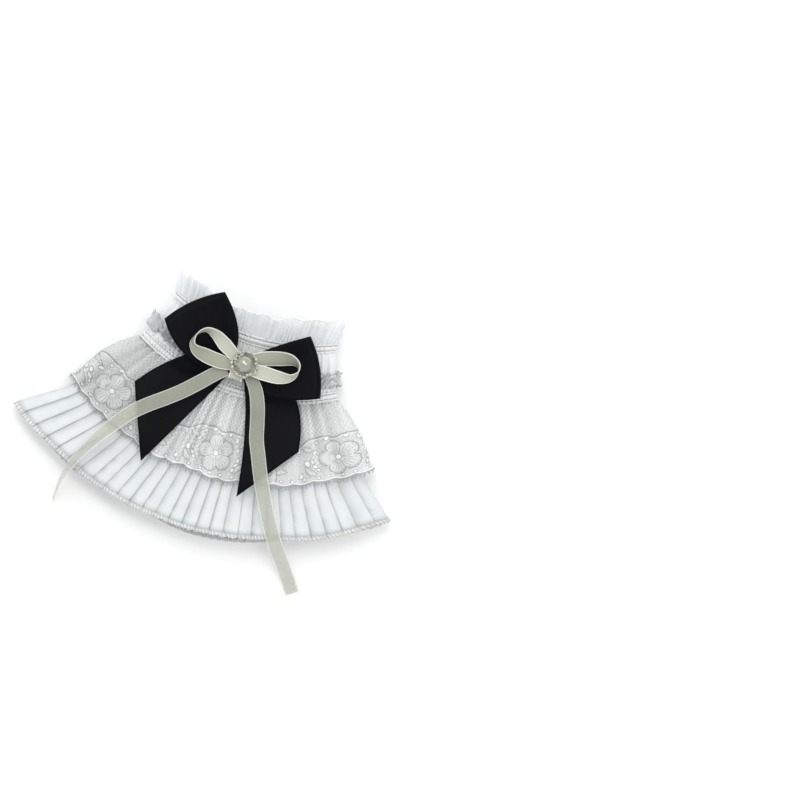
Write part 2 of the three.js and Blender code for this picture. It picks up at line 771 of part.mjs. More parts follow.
const finishes = {
  chiffon: { color: 0xf4f6f8, roughness: 0.85, metalness: 0 },
  lace: { color: 0xe9e9ea, roughness: 0.9, metalness: 0 },
  hemThread: { color: 0xdcdedf, roughness: 0.9, metalness: 0 },
  blackSatin: { color: 0x0c0d12, roughness: 0.45, metalness: 0 },
  creamSatin: { color: 0xd9dbc9, roughness: 0.5, metalness: 0 },
  pearl: { color: 0xe6e2cc, roughness: 0.2, metalness: 0 },
};

const pieces = [
  { name: "wrist_frill", finish: "chiffon", shape: wristFrill() },
  { name: "upper_casing", finish: "chiffon", shape: casing(upperDown) },
  { name: "gathered_band", finish: "chiffon", shape: gatheredBand() },
  { name: "ruched_trim", finish: "chiffon", shape: ruchedTrim() },
  { name: "lower_casing", finish: "chiffon", shape: casing(lowerDown) },
  { name: "lace_flounce", finish: "lace", shape: laceFlounce() },
  { name: "pleated_skirt", finish: "chiffon", shape: pleatedSkirt() },
  { name: "hem_edge", finish: "hemThread", shape: hemEdge() },
  { name: "black_loop_left", finish: "blackSatin", shape: bowLoop(leaves.leftLoop) },
  { name: "black_loop_right", finish: "blackSatin", shape: bowLoop(leaves.rightLoop) },
  { name: "black_tail_left", finish: "blackSatin", shape: bowTail(leaves.leftTail) },
  { name: "black_tail_right", finish: "blackSatin", shape: bowTail(leaves.rightTail) },
  { name: "cream_knot", finish: "creamSatin", shape: creamKnot() },
  { name: "cream_loop_left", finish: "creamSatin", shape: creamLoop(creamLoops.left) },
  { name: "cream_loop_right", finish: "creamSatin", shape: creamLoop(creamLoops.right) },
  { name: "charm_base", finish: "pearl", shape: charmBase() },
  { name: "charm_pearl", finish: "pearl", shape: pearl() },
  { name: "charm_beads", finish: "pearl", shape: beadRing() },
];
const freeRibbons = [
  { name: "cream_tail_left", finish: "creamSatin", shape: creamTail(creamRoutes.left) },
  { name: "cream_tail_right", finish: "creamSatin", shape: creamTail(creamRoutes.right) },
];

// Faces that point inwards are turned round, so that each piece is a solid
function facingOut(geometry) {
  const index = geometry.index ? Array.from(geometry.index.array) : null;
  const bare = geometry.clone();
  const flat = bare.index ? bare.toNonIndexed() : bare;
  const p = flat.getAttribute("position");
  const [a, b, c] = [new THREE.Vector3(), new THREE.Vector3(), new THREE.Vector3()];
  let volume = 0;
  for (let k = 0; k < p.count; k += 3) {
    a.fromBufferAttribute(p, k);
    b.fromBufferAttribute(p, k + 1);
    c.fromBufferAttribute(p, k + 2);
    volume += a.dot(b.cross(c));
  }
  if (volume > 0 || !index) return geometry;
  for (let k = 0; k < index.length; k += 3) [index[k + 1], index[k + 2]] = [index[k + 2], index[k + 1]];
  bare.setIndex(index);
  return bare;
}

const cuff = new THREE.Group();
function addPieces(list) {
  for (const { name, finish, shape } of list) {
    const mesh = new THREE.Mesh(facingOut(shape), new THREE.MeshStandardMaterial(finishes[finish]));
    mesh.name = name;
    cuff.add(mesh);
  }
}

// The origin is on the surface, under the middle of the cuff without its free ribbon ends
addPieces(pieces);
const box = new THREE.Box3().setFromObject(cuff, true);
addPieces(freeRibbons);
cuff.position.set(-(box.min.x + box.max.x) / 2, -(box.min.y + box.max.y) / 2, -box.min.z);

export default cuff;
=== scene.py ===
import math
import bpy
import numpy as np
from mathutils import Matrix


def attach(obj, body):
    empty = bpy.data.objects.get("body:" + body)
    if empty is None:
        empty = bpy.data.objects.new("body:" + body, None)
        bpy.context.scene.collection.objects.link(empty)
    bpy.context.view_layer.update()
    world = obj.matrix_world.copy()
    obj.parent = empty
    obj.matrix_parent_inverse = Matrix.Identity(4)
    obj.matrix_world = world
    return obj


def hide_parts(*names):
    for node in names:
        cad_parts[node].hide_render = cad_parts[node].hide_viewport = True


# A gathered wrist cuff lying flat. Shapes are worked out in millimetres and made metres in newPiece.
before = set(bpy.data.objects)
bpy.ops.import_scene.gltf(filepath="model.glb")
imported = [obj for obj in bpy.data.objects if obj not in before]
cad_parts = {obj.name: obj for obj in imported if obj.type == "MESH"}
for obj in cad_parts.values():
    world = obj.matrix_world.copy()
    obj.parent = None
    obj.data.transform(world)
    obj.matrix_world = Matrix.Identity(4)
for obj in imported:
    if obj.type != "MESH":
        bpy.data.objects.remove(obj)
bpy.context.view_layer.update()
mm = 0.001
fullTurn = 2 * math.pi
print("frame loaded")

# the flattened tube of cloth that every layer of the cuff follows, as the CAD has it
cuff = {
    "upperDown": 10.7, "lowerDown": 33.7, "laceDown": 73.7, "hemDown": 98.2,
    "hemHalf": 88.5, "shiftX": 4.974, "shiftY": 45.18,
    "foldHeightShare": 0.36, "archPower": 0.8, "underfoldShare": 0.22, "pressedShare": 0.35,
    "casingHalf": 2.2, "seamGap": 0.5, "trimStandAbove": 3.2, "trimDown": 25.88, "trimWidth": 6.5,
    "laceWall": 1.0, "laceRuffle": 0.9, "laceClearance": 1.2, "laceTuck": 4.0,
    "waistPleatDepth": 0.7, "hemPleatDepth": 1.9, "leftSwell": 3.0, "rightSwell": 0.9, "swellWidth": 0.06,
}
stations = [
    {"down": 0.0, "half": 39.0, "height": 18.4, "sag": 0.217, "drift": 0.0},
    {"down": cuff["upperDown"], "half": 36.0, "height": 17.0, "sag": 0.22, "drift": 0.0},
    {"down": cuff["lowerDown"], "half": 43.5, "height": 17.0, "sag": 0.25, "drift": -0.01},
    {"down": cuff["laceDown"], "half": 71.0, "height": 19.0, "sag": 0.363, "drift": -0.03},
    {"down": cuff["hemDown"], "half": cuff["hemHalf"], "height": 16.0, "sag": 0.347, "drift": -0.056},
]
laceTop = cuff["lowerDown"] + cuff["casingHalf"] + cuff["seamGap"]
ringShares = np.linspace(0, 1, 1248, endpoint=False)


def stationAt(down):
    k = 0
    while k < len(stations) - 2 and down > stations[k + 1]["down"]:
        k += 1
    a, b = stations[k], stations[k + 1]
    t = (down - a["down"]) / (b["down"] - a["down"])
    return {key: a[key] + (b[key] - a[key]) * t for key in a}


def climb(station, x):
    # how far a row of cloth climbs towards the wrist at its sides
    sag = station["sag"] * station["half"]
    radius = (station["half"] ** 2 + sag ** 2) / (2 * sag)
    inside = np.minimum(np.abs(x), 0.98 * radius)
    return radius - np.sqrt(radius ** 2 - inside ** 2)


def layerHeights(station, half, x, above, below):
    # the upper and the lower side of the flattened tube, above and below its walls
    across = np.minimum(1, np.abs(x) / half)
    high = station["height"] - above
    side = below + (high - below) * cuff["foldHeightShare"]
    arch = np.sqrt(1 - across ** 2) ** cuff["archPower"]
    share = cuff["underfoldShare"]
    under = np.maximum(0, (across - 1 + share) / share)
    return side + (high - side) * arch, side - (side - below) * np.sqrt(1 - under ** 2)


def ringLine(station, above, below, steps=160):
    # from the left side over the top, and back along the underside
    half = station["half"] - above
    turn = np.linspace(0, math.pi, steps, endpoint=False)
    over = -half * np.cos(turn)
    top = layerHeights(station, half, over, above, below)[0]
    low = layerHeights(station, half, -over, above, below)[1]
    line = np.column_stack([np.append(over, -over), np.append(top, low)])
    line = np.vstack([line, line[:1]])
    run = runOf(line)
    return line, run / run[-1]


def runOf(line):
    # the distance along a line at each of its points
    return np.append(0, np.cumsum(np.linalg.norm(np.diff(line, axis=0), axis=1)))


def clothRow(down, shares, above, below, lift, slip=0.0, pressed=cuff["pressedShare"], lowest=0.15):
    # one row of cloth round the cuff: lift stands it off outwards, slip lets it down towards the hem
    station = stationAt(down)
    line, run = ringLine(station, above, below)
    near = 0.004
    at = [[np.interp((shares + d) % 1, run, line[:, i]) for i in (0, 1)] for d in (0, near, -near)]
    nx, nz = at[2][1] - at[1][1], at[1][0] - at[2][0]
    size = np.hypot(nx, nz)
    middle = station["height"] * cuff["foldHeightShare"]
    underneath = np.clip((middle - at[0][1]) / middle + 0.5, 0, 1)
    rise = lift * (1 + (pressed - 1) * underneath)
    x = at[0][0] + nx / size * rise
    # the table presses the lowest folds flat
    return np.column_stack([
        x + station["drift"] * cuff["hemHalf"] + cuff["shiftX"],
        climb(station, x) - down - slip + cuff["shiftY"],
        np.maximum(at[0][1] + nz / size * rise, lowest + 0.05 * at[0][1]),
    ])


def smooth(t):
    t = np.clip(t, 0, 1)
    return t * t * (3 - 2 * t)


def coverHeight(x, y):
    # the height of the cuff's upper side under a point in plan, which the ribbons lie on
    px, py = x - cuff["shiftX"], y - cuff["shiftY"]
    down = -py
    for _ in range(8):
        station = stationAt(max(0, min(cuff["hemDown"], down)))
        down = float(climb(station, px - station["drift"] * cuff["hemHalf"])) - py
    station = stationAt(max(0, min(cuff["hemDown"], down)))
    onTrim = float(smooth(1.6 - abs(down - cuff["trimDown"]) / cuff["trimWidth"]))
    inside = px - station["drift"] * cuff["hemHalf"]
    return float(layerHeights(station, station["half"], inside, 0, 0)[0]) + cuff["trimStandAbove"] * onTrim


def wander(shares, seed, harmonics, low=1):
    # a smooth seeded wandering round the ring, about -1 to 1
    rng = np.random.default_rng(seed)
    total = np.zeros_like(shares)
    for k in range(low, low + harmonics):
        total += rng.normal() * np.cos(fullTurn * (k * shares + rng.random()))
    return total / math.sqrt(harmonics)


def sideward(shares, width=cuff["swellWidth"], left=cuff["leftSwell"], right=cuff["rightSwell"]):
    # how much more the flattened ring stands out at its left and right side
    fromLeft = (shares + 0.5) % 1 - 0.5
    fromRight = shares % 1 - 0.5
    return left * np.exp(-(fromLeft / width) ** 2) + right * np.exp(-(fromRight / width) ** 2)


def gathers(shares, count, seed, uneven=0.5):
    # folds that differ in width and height, as gathered cloth has
    phase = count * shares + uneven * wander(shares, seed, 9, 2)
    height = np.clip(1 + 0.35 * wander(shares, seed + 1, 12, 5), 0.35, 1.7)
    return np.cos(fullTurn * phase) * height


def newPiece(name, points, faces, materials, weave=None, faceFinish=None):
    mesh = bpy.data.meshes.new(name)
    mesh.from_pydata((np.asarray(points, float) * mm).tolist(), [], faces)
    mesh.update()
    piece = bpy.data.objects.new(name, mesh)
    bpy.context.scene.collection.objects.link(piece)
    for material in materials:
        mesh.materials.append(material)
    mesh.polygons.foreach_set("use_smooth", [True] * len(mesh.polygons))
    if faceFinish is not None:
        mesh.polygons.foreach_set("material_index", list(faceFinish))
    if weave is not None:
        layer = mesh.uv_layers.new(name="weave")
        corners = np.zeros(len(mesh.loops), int)
        mesh.loops.foreach_get("vertex_index", corners)
        layer.data.foreach_set("uv", np.asarray(weave, float)[corners].ravel())
    return piece


def only(piece):
    bpy.ops.object.select_all(action="DESELECT")
    piece.select_set(True)
    bpy.context.view_layer.objects.active = piece


def thicken(piece, wall):
    solidify = piece.modifiers.new("wall", "SOLIDIFY")
    solidify.material_offset = len(piece.data.materials) - 1
    solidify.thickness = wall * mm
    solidify.offset = 0
    solidify.use_even_offset = False
    solidify.use_rim = True
    only(piece)
    bpy.ops.object.modifier_apply(modifier=solidify.name)


def facesOfGrid(rows, columns, closed=True):
    across = columns if closed else columns - 1
    return [
        (j * columns + i, j * columns + (i + 1) % columns,
         (j + 1) * columns + (i + 1) % columns, (j + 1) * columns + i)
        for j in range(rows - 1) for i in range(across)
    ]


def sheetOf(name, grid, weave, material, wall, closed=True, inner=None):
    # a sheet of cloth from rows of points, with its thickness
    rows, columns = grid.shape[:2]
    faces = facesOfGrid(rows, columns, closed)
    materials = [material, inner] if inner else [material]
    piece = newPiece(name, grid.reshape(-1, 3), faces, materials, weave.reshape(-1, 2))
    thicken(piece, wall)
    return piece


def ringSheet(name, grid, length, height, material, wall):
    # a closed ring of cloth whose weave runs length by height over it
    rows, columns = grid.shape[:2]
    return sheetOf(name, grid, weaveOf(rows, columns, length, height), material, wall)


def shadeFolds(piece, values):
    # keeps how bright each point of a sheet stays in its folds, for both sides of a thickened one: painted
    # shade
    both = np.clip(np.tile(np.ravel(values), 2), 0.5, 1)
    layer = piece.data.attributes.new("fold_shade", "FLOAT", "POINT")
    layer.data.foreach_set("value", both[:len(layer.data)])


def cutOf(grid):
    # the cloth's cut size: its longest row opened out, and the mean run down it
    runs = np.linalg.norm(np.diff(grid, axis=1), axis=2).sum(axis=1)
    falls = np.linalg.norm(np.diff(grid, axis=0), axis=2).sum(axis=0)
    return round(float(runs.max()) * mm, 4), round(float(falls.mean()) * mm, 4)


def weaveOf(rows, columns, length, height):
    u, v = np.meshgrid(np.linspace(0, length * mm, columns), np.linspace(0, height * mm, rows))
    return np.dstack([u, v])


def finishPiece(piece, slotName, *nodes):
    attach(piece, "root")
    if nodes:
        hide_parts(*nodes)
    return piece


# camera straight above the photo's middle, turned as the cuff lies in it
view = {"x": 75.1, "y": 29.1, "level": 12.0, "turn": 17.5, "lens": 260.0, "sensor": 36.0, "width": 352.0}
cameraData = bpy.data.cameras.new("camera")
cameraData.lens = view["lens"]
cameraData.sensor_width = view["sensor"]
camera = bpy.data.objects.new("camera", cameraData)
distance = view["width"] * view["lens"] / view["sensor"]
camera.location = (view["x"] * mm, view["y"] * mm, (distance + view["level"]) * mm)
camera.rotation_euler = (0, 0, math.radians(view["turn"]))
bpy.context.scene.collection.objects.link(camera)
bpy.context.scene.camera = camera
print("camera placed")


class Finish:
    # one material, built up node by node; an input is a value or another node's output
    def __init__(self, name):
        self.material = bpy.data.materials.new(name)
        self.material.use_nodes = True
        self.nodes = self.material.node_tree.nodes
        self.shader = next(node for node in self.nodes if node.type == "BSDF_PRINCIPLED")

    def put(self, node, inputs):
        for socket, value in inputs.items():
            if isinstance(value, bpy.types.NodeSocket):
                self.material.node_tree.links.new(value, node.inputs[socket])
            else:
                node.inputs[socket].default_value = value

    def node(self, kind, inputs, **settings):
        made = self.nodes.new("ShaderNode" + kind)
        for key, value in settings.items():
            setattr(made, key, value)
        self.put(made, inputs)
        return made

    def surface(self, inputs):
        self.put(self.shader, inputs)

    def maths(self, operation, *values):
        return self.node("Math", dict(enumerate(values)), operation=operation).outputs[0]

    def weave(self):
        return self.node("UVMap", {}, uv_map="weave").outputs["UV"]

    def scaled(self, vector, scale):
        return self.node("Mapping", {"Scale": scale, "Vector": vector}).outputs["Vector"]

    def clouds(self, scale, detail):
        # soft noise over the whole object, scale to the metre
        place = self.node("TexCoord", {}).outputs["Object"]
        return self.noise(self.scaled(place, (scale, scale, scale)), detail)

    def noise(self, vector, detail):
        return self.node("TexNoise", {"Scale": 1.0, "Detail": detail, "Vector": vector}).outputs["Fac"]

    def threads(self, vector, direction):
        inputs = {"Scale": 1.0, "Distortion": 0.6, "Detail": 1.0, "Vector": vector}
        return self.node("TexWave", inputs, bands_direction=direction).outputs["Fac"]

    def ramp(self, factor, dark, light, start=0.0, end=1.0):
        made = self.node("ValToRGB", {"Fac": factor})
        for element, colour, place in zip(made.color_ramp.elements, (dark, light), (start, end)):
            element.color = (*colour, 1)
            element.position = place
        return made.outputs["Color"]

    def mix(self, factor, first, second, blend="MIX"):
        inputs = {0: factor, 6: first, 7: second}
        return self.node("Mix", inputs, data_type="RGBA", blend_type=blend).outputs[2]

    def bump(self, height, strength, distance):
        made = self.node("Bump", {"Strength": strength, "Distance": distance, "Height": height})
        self.surface({"Normal": made.outputs["Normal"]})


# one pitch of a cloth in units of the wave texture, which draws 20 / tau threads in each unit
pitchUnits = 6.28 / math.tau


def clothFinish(name, dark, light, pitch, bump, roughness=0.8, sheen=0.1, alpha=1.0, folded=False):
    # a plain woven cloth: crossing threads, with soft clouds of colour over them
    finish = Finish(name)
    scale = pitchUnits / (pitch * mm)
    vector = finish.scaled(finish.weave(), (scale, scale, scale))
    weave = finish.maths("MULTIPLY", finish.threads(vector, "X"), finish.threads(vector, "Y"))
    clouds = finish.clouds(120.0, 4.0)
    mixed = finish.maths("ADD", finish.maths("MULTIPLY", weave, 0.35), finish.maths("MULTIPLY", clouds, 0.75))
    colour = finish.ramp(mixed, dark, light, 0.2, 0.75)
    if folded:
        # an attribute of the mesh darkens the cloth in its folds: painted shade
        shade = finish.node("Attribute", {}, attribute_name="fold_shade").outputs["Color"]
        colour = finish.mix(1.0, colour, shade, "MULTIPLY")
    finish.surface({
        "Base Color": colour, "Roughness": roughness, "Sheen Weight": sheen, "Sheen Roughness": 0.5,
        "Specular IOR Level": 0.2, "Alpha": alpha,
    })
    finish.bump(weave, bump, 0.00006)
    return finish.material


def satinFinish(name, dark, light, roughness, specular, pitch):
    # satin: long floats along the ribbon give a soft streaked gloss
    finish = Finish(name)
    fine = 1 / (pitch * mm)
    streaks = finish.noise(finish.scaled(finish.weave(), (fine, 0.05 * fine, 1)), 3.0)
    finish.surface({
        "Base Color": finish.ramp(streaks, dark, light, 0.3, 0.8),
        "Roughness": finish.maths("MULTIPLY_ADD", streaks, 0.15, roughness),
        "Specular IOR Level": specular,
    })
    finish.bump(streaks, 0.25, 0.00005)
    return finish.material


cream = {"width": 6.4, "wall": 0.4, "reach": 26.0, "ribPitch": 0.5, "ribRise": 0.02, "crown": 0.25,
         "step": 0.35}


def ribbonFinish(name, ground, rib, selvedge, alpha):
    # ribbed ribbon: V runs across it from 0 to 1, U along it in metres
    finish = Finish(name)
    split = finish.node("SeparateXYZ", {"Vector": finish.weave()})
    turns = finish.maths("MULTIPLY", split.outputs["X"], fullTurn / (cream["ribPitch"] * mm))
    ribs = finish.maths("MULTIPLY_ADD", finish.maths("SINE", turns), 0.5, 0.5)
    fromMiddle = finish.maths("ABSOLUTE", finish.maths("SUBTRACT", split.outputs["Y"], 0.5))
    edge = finish.maths("GREATER_THAN", fromMiddle, 0.43)
    beside = finish.maths("GREATER_THAN", fromMiddle, 0.355)
    dashes = finish.maths("SUBTRACT", ribs, finish.maths("MULTIPLY", beside, 0.8))
    finish.surface({
        "Base Color": finish.mix(edge, finish.ramp(dashes, rib, ground), (*selvedge, 1)),
        "Roughness": 0.42, "Specular IOR Level": 0.4, "Sheen Weight": 0.1, "Alpha": alpha,
    })
    finish.bump(ribs, 0.2, 0.00005)
    return finish.material


def pearlFinish(name, deep, pale, roughness):
    finish = Finish(name)
    mixed = finish.maths("MULTIPLY_ADD", finish.clouds(500.0, 2.0), 0.5, 0.25)
    finish.surface({
        "Base Color": finish.ramp(mixed, deep, pale), "Roughness": roughness,
        "Coat Weight": 1.0, "Coat Roughness": 0.05, "Coat IOR": 2.4, "Specular IOR Level": 0.8,
        "Subsurface Weight": 0.15, "Subsurface Radius": (0.002, 0.002, 0.001),
    })
    return finish.material


chiffon = clothFinish("chiffon", (0.80, 0.835, 0.85), (0.90, 0.93, 0.94), 0.3, 0.2, alpha=0.72, folded=True)
frillGauze = clothFinish("frill_gauze", (0.86, 0.885, 0.90), (0.94, 0.965, 0.98), 0.3, 0.2, alpha=0.43,
                         folded=True)
casingCloth = clothFinish("casing_cloth", (0.82, 0.835, 0.84), (0.92, 0.93, 0.935), 0.3, 0.25, alpha=0.9)
organza = clothFinish("organza", (0.68, 0.70, 0.71), (0.90, 0.91, 0.92), 0.35, 0.3, 0.5, 0.2, 0.62, True)
stitchThread = clothFinish("stitch_thread", (0.44, 0.45, 0.455), (0.60, 0.61, 0.61), 0.2, 0.4, 0.7)
trimThread = clothFinish("trim_thread", (0.42, 0.43, 0.44), (0.62, 0.63, 0.64), 0.2, 0.4, 0.7)
hemThread = clothFinish("hem_thread", (0.62, 0.64, 0.635), (0.85, 0.865, 0.86), 0.3, 0.5)
hemStitchThread = clothFinish("hem_stitch_thread", (0.50, 0.515, 0.515), (0.70, 0.715, 0.71), 0.2, 0.4, 0.7)
tulle = clothFinish("lace_tulle", (0.93, 0.94, 0.94), (0.98, 0.985, 0.98), 0.3, 0.2, alpha=0.4, folded=True)
laceFinishes = [
    clothFinish("lace_thread", (0.84, 0.855, 0.855), (0.97, 0.98, 0.975), 0.22, 0.3, folded=True),
    clothFinish("lace_gauze", (0.62, 0.64, 0.635), (0.83, 0.84, 0.83), 0.45, 0.5, folded=True),
    clothFinish("lace_cord", (0.36, 0.38, 0.375), (0.58, 0.59, 0.585), 0.2, 0.5, folded=True),
    clothFinish("lace_bright", (0.90, 0.91, 0.905), (0.98, 0.985, 0.98), 0.3, 0.3, folded=True),
]
blackSatin = satinFinish("black_satin", (0.0018, 0.0020, 0.0030), (0.0042, 0.0046, 0.0068), 0.33, 0.055, 0.35)
creamSatin = ribbonFinish("cream_satin", (0.56, 0.575, 0.48), (0.50, 0.515, 0.43), (0.84, 0.85, 0.78), 0.4)
# a darker copy of the cream satin: painted shade on the loops' inner faces
creamInnerShade = ribbonFinish("cream_satin_inner_shade", (0.40, 0.41, 0.32), (0.33, 0.34, 0.265), (0.74, 0.75, 0.67),
                          0.9)
creamFold = ribbonFinish("cream_satin_folded", (0.60, 0.61, 0.51), (0.52, 0.53, 0.44), (0.84, 0.85, 0.77),
                         0.9)
pearlSkin = pearlFinish("pearl_skin", (0.15, 0.16, 0.11), (0.33, 0.34, 0.26), 0.18)
seedPearl = pearlFinish("seed_pearl", (0.26, 0.27, 0.20), (0.56, 0.57, 0.47), 0.2)
shell = pearlFinish("shell", (0.24, 0.25, 0.19), (0.50, 0.51, 0.43), 0.25)
print("finishes made")

# narrow cream ribbon: its two tails, as flat strips where they leave the knot
knot = {"x": 3.474, "y": 22.175}
creamRoutes = {
    "left": [
        (-4.6, -3.0, 27.5, 0, 0.85), (-9.2, -6.8, 27.4, 0, 0.97), (-14.5, -12.2, 25.6, 0, 1),
        (-20.5, -18, 22.8, 0, 1), (-26.5, -23, 21, 0, 1), (-32.5, -27.6, 19.6, 0, 1),
        (-38.5, -33, 18.5, -6, 1), (-43.5, -39, 19, -16, 1), (-48, -45.5, 19.1, -30, 1),
        (-52, -52, 18.9, -44, 1), (-55.4, -58.5, 18.6, -56, 1), (-58.2, -65, 17.4, -64, 1),
        (-60.2, -70.6, 11.4, -70, 1), (-61, -75.4, 6, -76, 1), (-61.2, -80.6, 3.9, -78, 1),
    ],
    "right": [
        (6.0, -2.8, 27.5, 0, 0.8), (10.1, -7.9, 27.6, 0, 0.95), (12.9, -14.2, 26, 0, 1),
        (14.9, -21.2, 22.2, 0, 1), (16.8, -28.4, 20.6, 0, 1), (19.8, -35.4, 20.6, 0, 1),
        (22.9, -42.4, 20.8, 0, 1), (26.3, -49.4, 20.2, 0, 1), (30, -56.4, 18.9, 0, 1),
        (34, -63.4, 17.5, 0, 1), (38, -69.6, 16.4, 0, 1), (41.6, -74.6, 11.6, 0, 1),
        (45, -79.2, 5.2, 0, 1), (48.4, -84, 1.6, 0, 1), (51.8, -88.8, 0.8, 0, 1),
    ],
}


def between(q, r, s, start, end):
    return q + (r - q) * (s - start) / (end - start)


def curveThrough(points, steps):
    # a centripetal Catmull-Rom curve, with as many steps in each span
    p = np.asarray(points, float)
    p = np.vstack([2 * p[0] - p[1], p, 2 * p[-1] - p[-2]])
    spans = len(p) - 3
    out = []
    for t in np.linspace(0, spans, steps + 1):
        k = min(spans - 1, int(t))
        a, b, c, d = p[k:k + 4]
        gaps = [math.sqrt(max(1e-6, np.linalg.norm(q - r))) for q, r in ((b, a), (c, b), (d, c))]
        k0, k1, k2, k3 = np.append(0, np.cumsum(gaps))
        s = k1 + (t - k) * (k2 - k1)
        ab, bc, cd = between(a, b, s, k0, k1), between(b, c, s, k1, k2), between(c, d, s, k2, k3)
        out.append(between(between(ab, bc, s, k0, k2), between(bc, cd, s, k1, k3), s, k1, k2))
    return np.array(out)


def ribbonGrid(rows, origin):
    # rows hold x, y, z, tilt and taper; the tilt turns the width from lying across to upright
    table = np.asarray(rows, float)
    steps = int(runOf(curveThrough(table[:, :3] + origin, 60))[-1] / cream["step"])
    line = curveThrough(table[:, :3] + origin, steps)
    at = np.linspace(0, len(table) - 1, steps + 1)
    tilt = np.radians(np.interp(at, range(len(table)), table[:, 3]))
    taper = np.interp(at, range(len(table)), table[:, 4])
    along = np.gradient(line, axis=0)
    along /= np.linalg.norm(along, axis=1)[:, None]
    level = np.cross(along, (0, 0, 1.0))
    level /= np.linalg.norm(level, axis=1)[:, None]
    upright = np.cross(level, along)
    across = level * np.cos(tilt)[:, None] + upright * np.sin(tilt)[:, None]
    normal = np.cross(across, along)
    places = np.array([-1, -0.96, -0.88, -0.8, -0.4, 0, 0.4, 0.8, 0.88, 0.96, 1])
    run = runOf(line)
    rise = cream["ribRise"] * np.cos(fullTurn * run / cream["ribPitch"])
    grid = np.zeros((steps + 1, len(places), 3))
    for i, place in enumerate(places):
        # the selvedges are flat, and the ribs lie between them
        height = cream["crown"] * taper * (1 - place ** 2) + (rise if abs(place) < 0.85 else 0)
        grid[:, i] = line + across * (place * cream["width"] / 2 * taper)[:, None] + normal * height[:, None]
    weave = np.dstack(np.meshgrid(run * mm, (places + 1) / 2, indexing="ij"))
    return grid, weave, line


for side, rows in creamRoutes.items():
    grid, weave, line = ribbonGrid(rows, np.array([knot["x"], knot["y"], 0]))
    tail = sheetOf("cream_ribbon_tail_" + side, grid, weave, creamSatin, cream["wall"], closed=False)
    finishPiece(tail, "cream_satin", "cream_tail_" + side)

# knife-pleated chiffon skirt: the profile goes forward over a pleat, back under it, and forward again
skirt = {"pleats": 56, "wall": 0.18, "hemWidth": 2.0, "rows": 22, "uneven": 0.13, "swing": 0.10,
         "heightSpread": 0.18, "flatness": 0.6, "wave": 0.45, "clearance": 0.3, "shadeSpread": 0.35,
         "hemWander": 0.55, "backDrop": 2.6, "backPlace": 0.727, "backSpread": 0.055}
pleatProfile = [
    (0.0, 0.40), (0.16, 0.55), (0.34, 0.71), (0.54, 0.85), (0.74, 0.94), (0.87, 0.99), (0.93, 1.0),
    (0.95, 0.93), (0.92, 0.82), (0.76, 0.66), (0.58, 0.46), (0.48, 0.32), (0.47, 0.22), (0.56, 0.16),
    (0.7, 0.18), (0.86, 0.28),
]
# painted shade for each point of the pleat profile: darker where a pleat comes out from under the one before
# and towards its fold edge
pleatShade = [0.80, 0.90, 0.97, 1.0, 0.99, 0.955, 0.92, 0.9, 0.9, 0.9, 0.9, 0.9, 0.9, 0.88, 0.84, 0.81]
skirtEnd = cuff["hemDown"] - skirt["hemWidth"]


def pleatColumns(fall):
    # places and heights round the ring at one share of the fall from waist to hem
    rng = np.random.default_rng(7)
    shares, lifts = [], []
    for k in range(skirt["pleats"]):
        shift = rng.normal() * skirt["uneven"]
        swing = rng.normal() * skirt["swing"]
        height = 1 + skirt["heightSpread"] * rng.normal()
        sway = (shift + swing * math.sin(2.2 * fall + 6 * rng.random())) * (0.4 + 0.6 * fall)
        for du, lift in pleatProfile:
            shares.append((k + du + sway * math.sin(math.pi * min(1, max(0, du)))) / skirt["pleats"])
            lifts.append(lift * min(1.25, max(0.6, height)) * (0.8 + 0.2 * fall))
    return np.array(shares), np.array(lifts)


def laceFold(down):
    return cuff["laceRuffle"] * float(smooth((down - laceTop) / (cuff["laceDown"] - laceTop)))


def skirtRow(down, wall, slip, lowest=0.15):
    fall = (down - laceTop) / (cuff["hemDown"] - laceTop)
    depth = cuff["waistPleatDepth"] + (cuff["hemPleatDepth"] - cuff["waistPleatDepth"]) * fall
    depth *= skirt["flatness"]
    span = cuff["hemDown"] - cuff["laceDown"] - cuff["laceTuck"]
    clear = min(1, max(0, (cuff["hemDown"] - down) / span))
    above = (cuff["laceWall"] + 2 * laceFold(down) + cuff["laceClearance"]) * clear
    below = (cuff["laceWall"] + cuff["seamGap"]) * clear
    shares, lifts = pleatColumns(fall)
    wave = skirt["wave"] * wander(shares, 31, 10, 2) * fall
    return clothRow(
        down, shares, above + depth + wall / 2 + skirt["clearance"],
        below + depth * cuff["pressedShare"] + wall / 2, depth * lifts + wave, slip, lowest=lowest,
    )


def hemSlip(shares, fall):
    # the hem isn't quite even: its line wanders, and it hangs lower at the back
    back = np.exp(-(((shares % 1) - skirt["backPlace"]) / skirt["backSpread"]) ** 2)
    return (skirt["hemWander"] * wander(shares, 12, 14, 2) + skirt["backDrop"] * back) * fall


def makeSkirt():
    falls = np.linspace(0, 1, skirt["rows"])
    rows = []
    for fall in falls:
        slip = hemSlip(pleatColumns(float(fall))[0], fall ** 3)
        rows.append(skirtRow(laceTop + (skirtEnd - laceTop) * fall, skirt["wall"], slip))
    grid = np.array(rows)
    run = float(runOf(grid[-1])[-1])
    piece = ringSheet("chiffon_skirt", grid, run, skirtEnd - laceTop, chiffon, skirt["wall"])
    # painted shade in the pleats, deeper in some pleats than others towards the hem
    rng = np.random.default_rng(17)
    shades = []
    for fall in falls:
        depths = 1 + skirt["shadeSpread"] * rng.normal(size=skirt["pleats"]) * fall
        shades.append([1 - depth * (1 - value) for depth in depths for value in pleatShade])
    shadeFolds(piece, shades)
    return finishPiece(piece, "chiffon", "pleated_skirt"), cutOf(grid), run


skirtPiece, skirtCut, clothRun = makeSkirt()
print("skirt made, cloth run", round(clothRun))


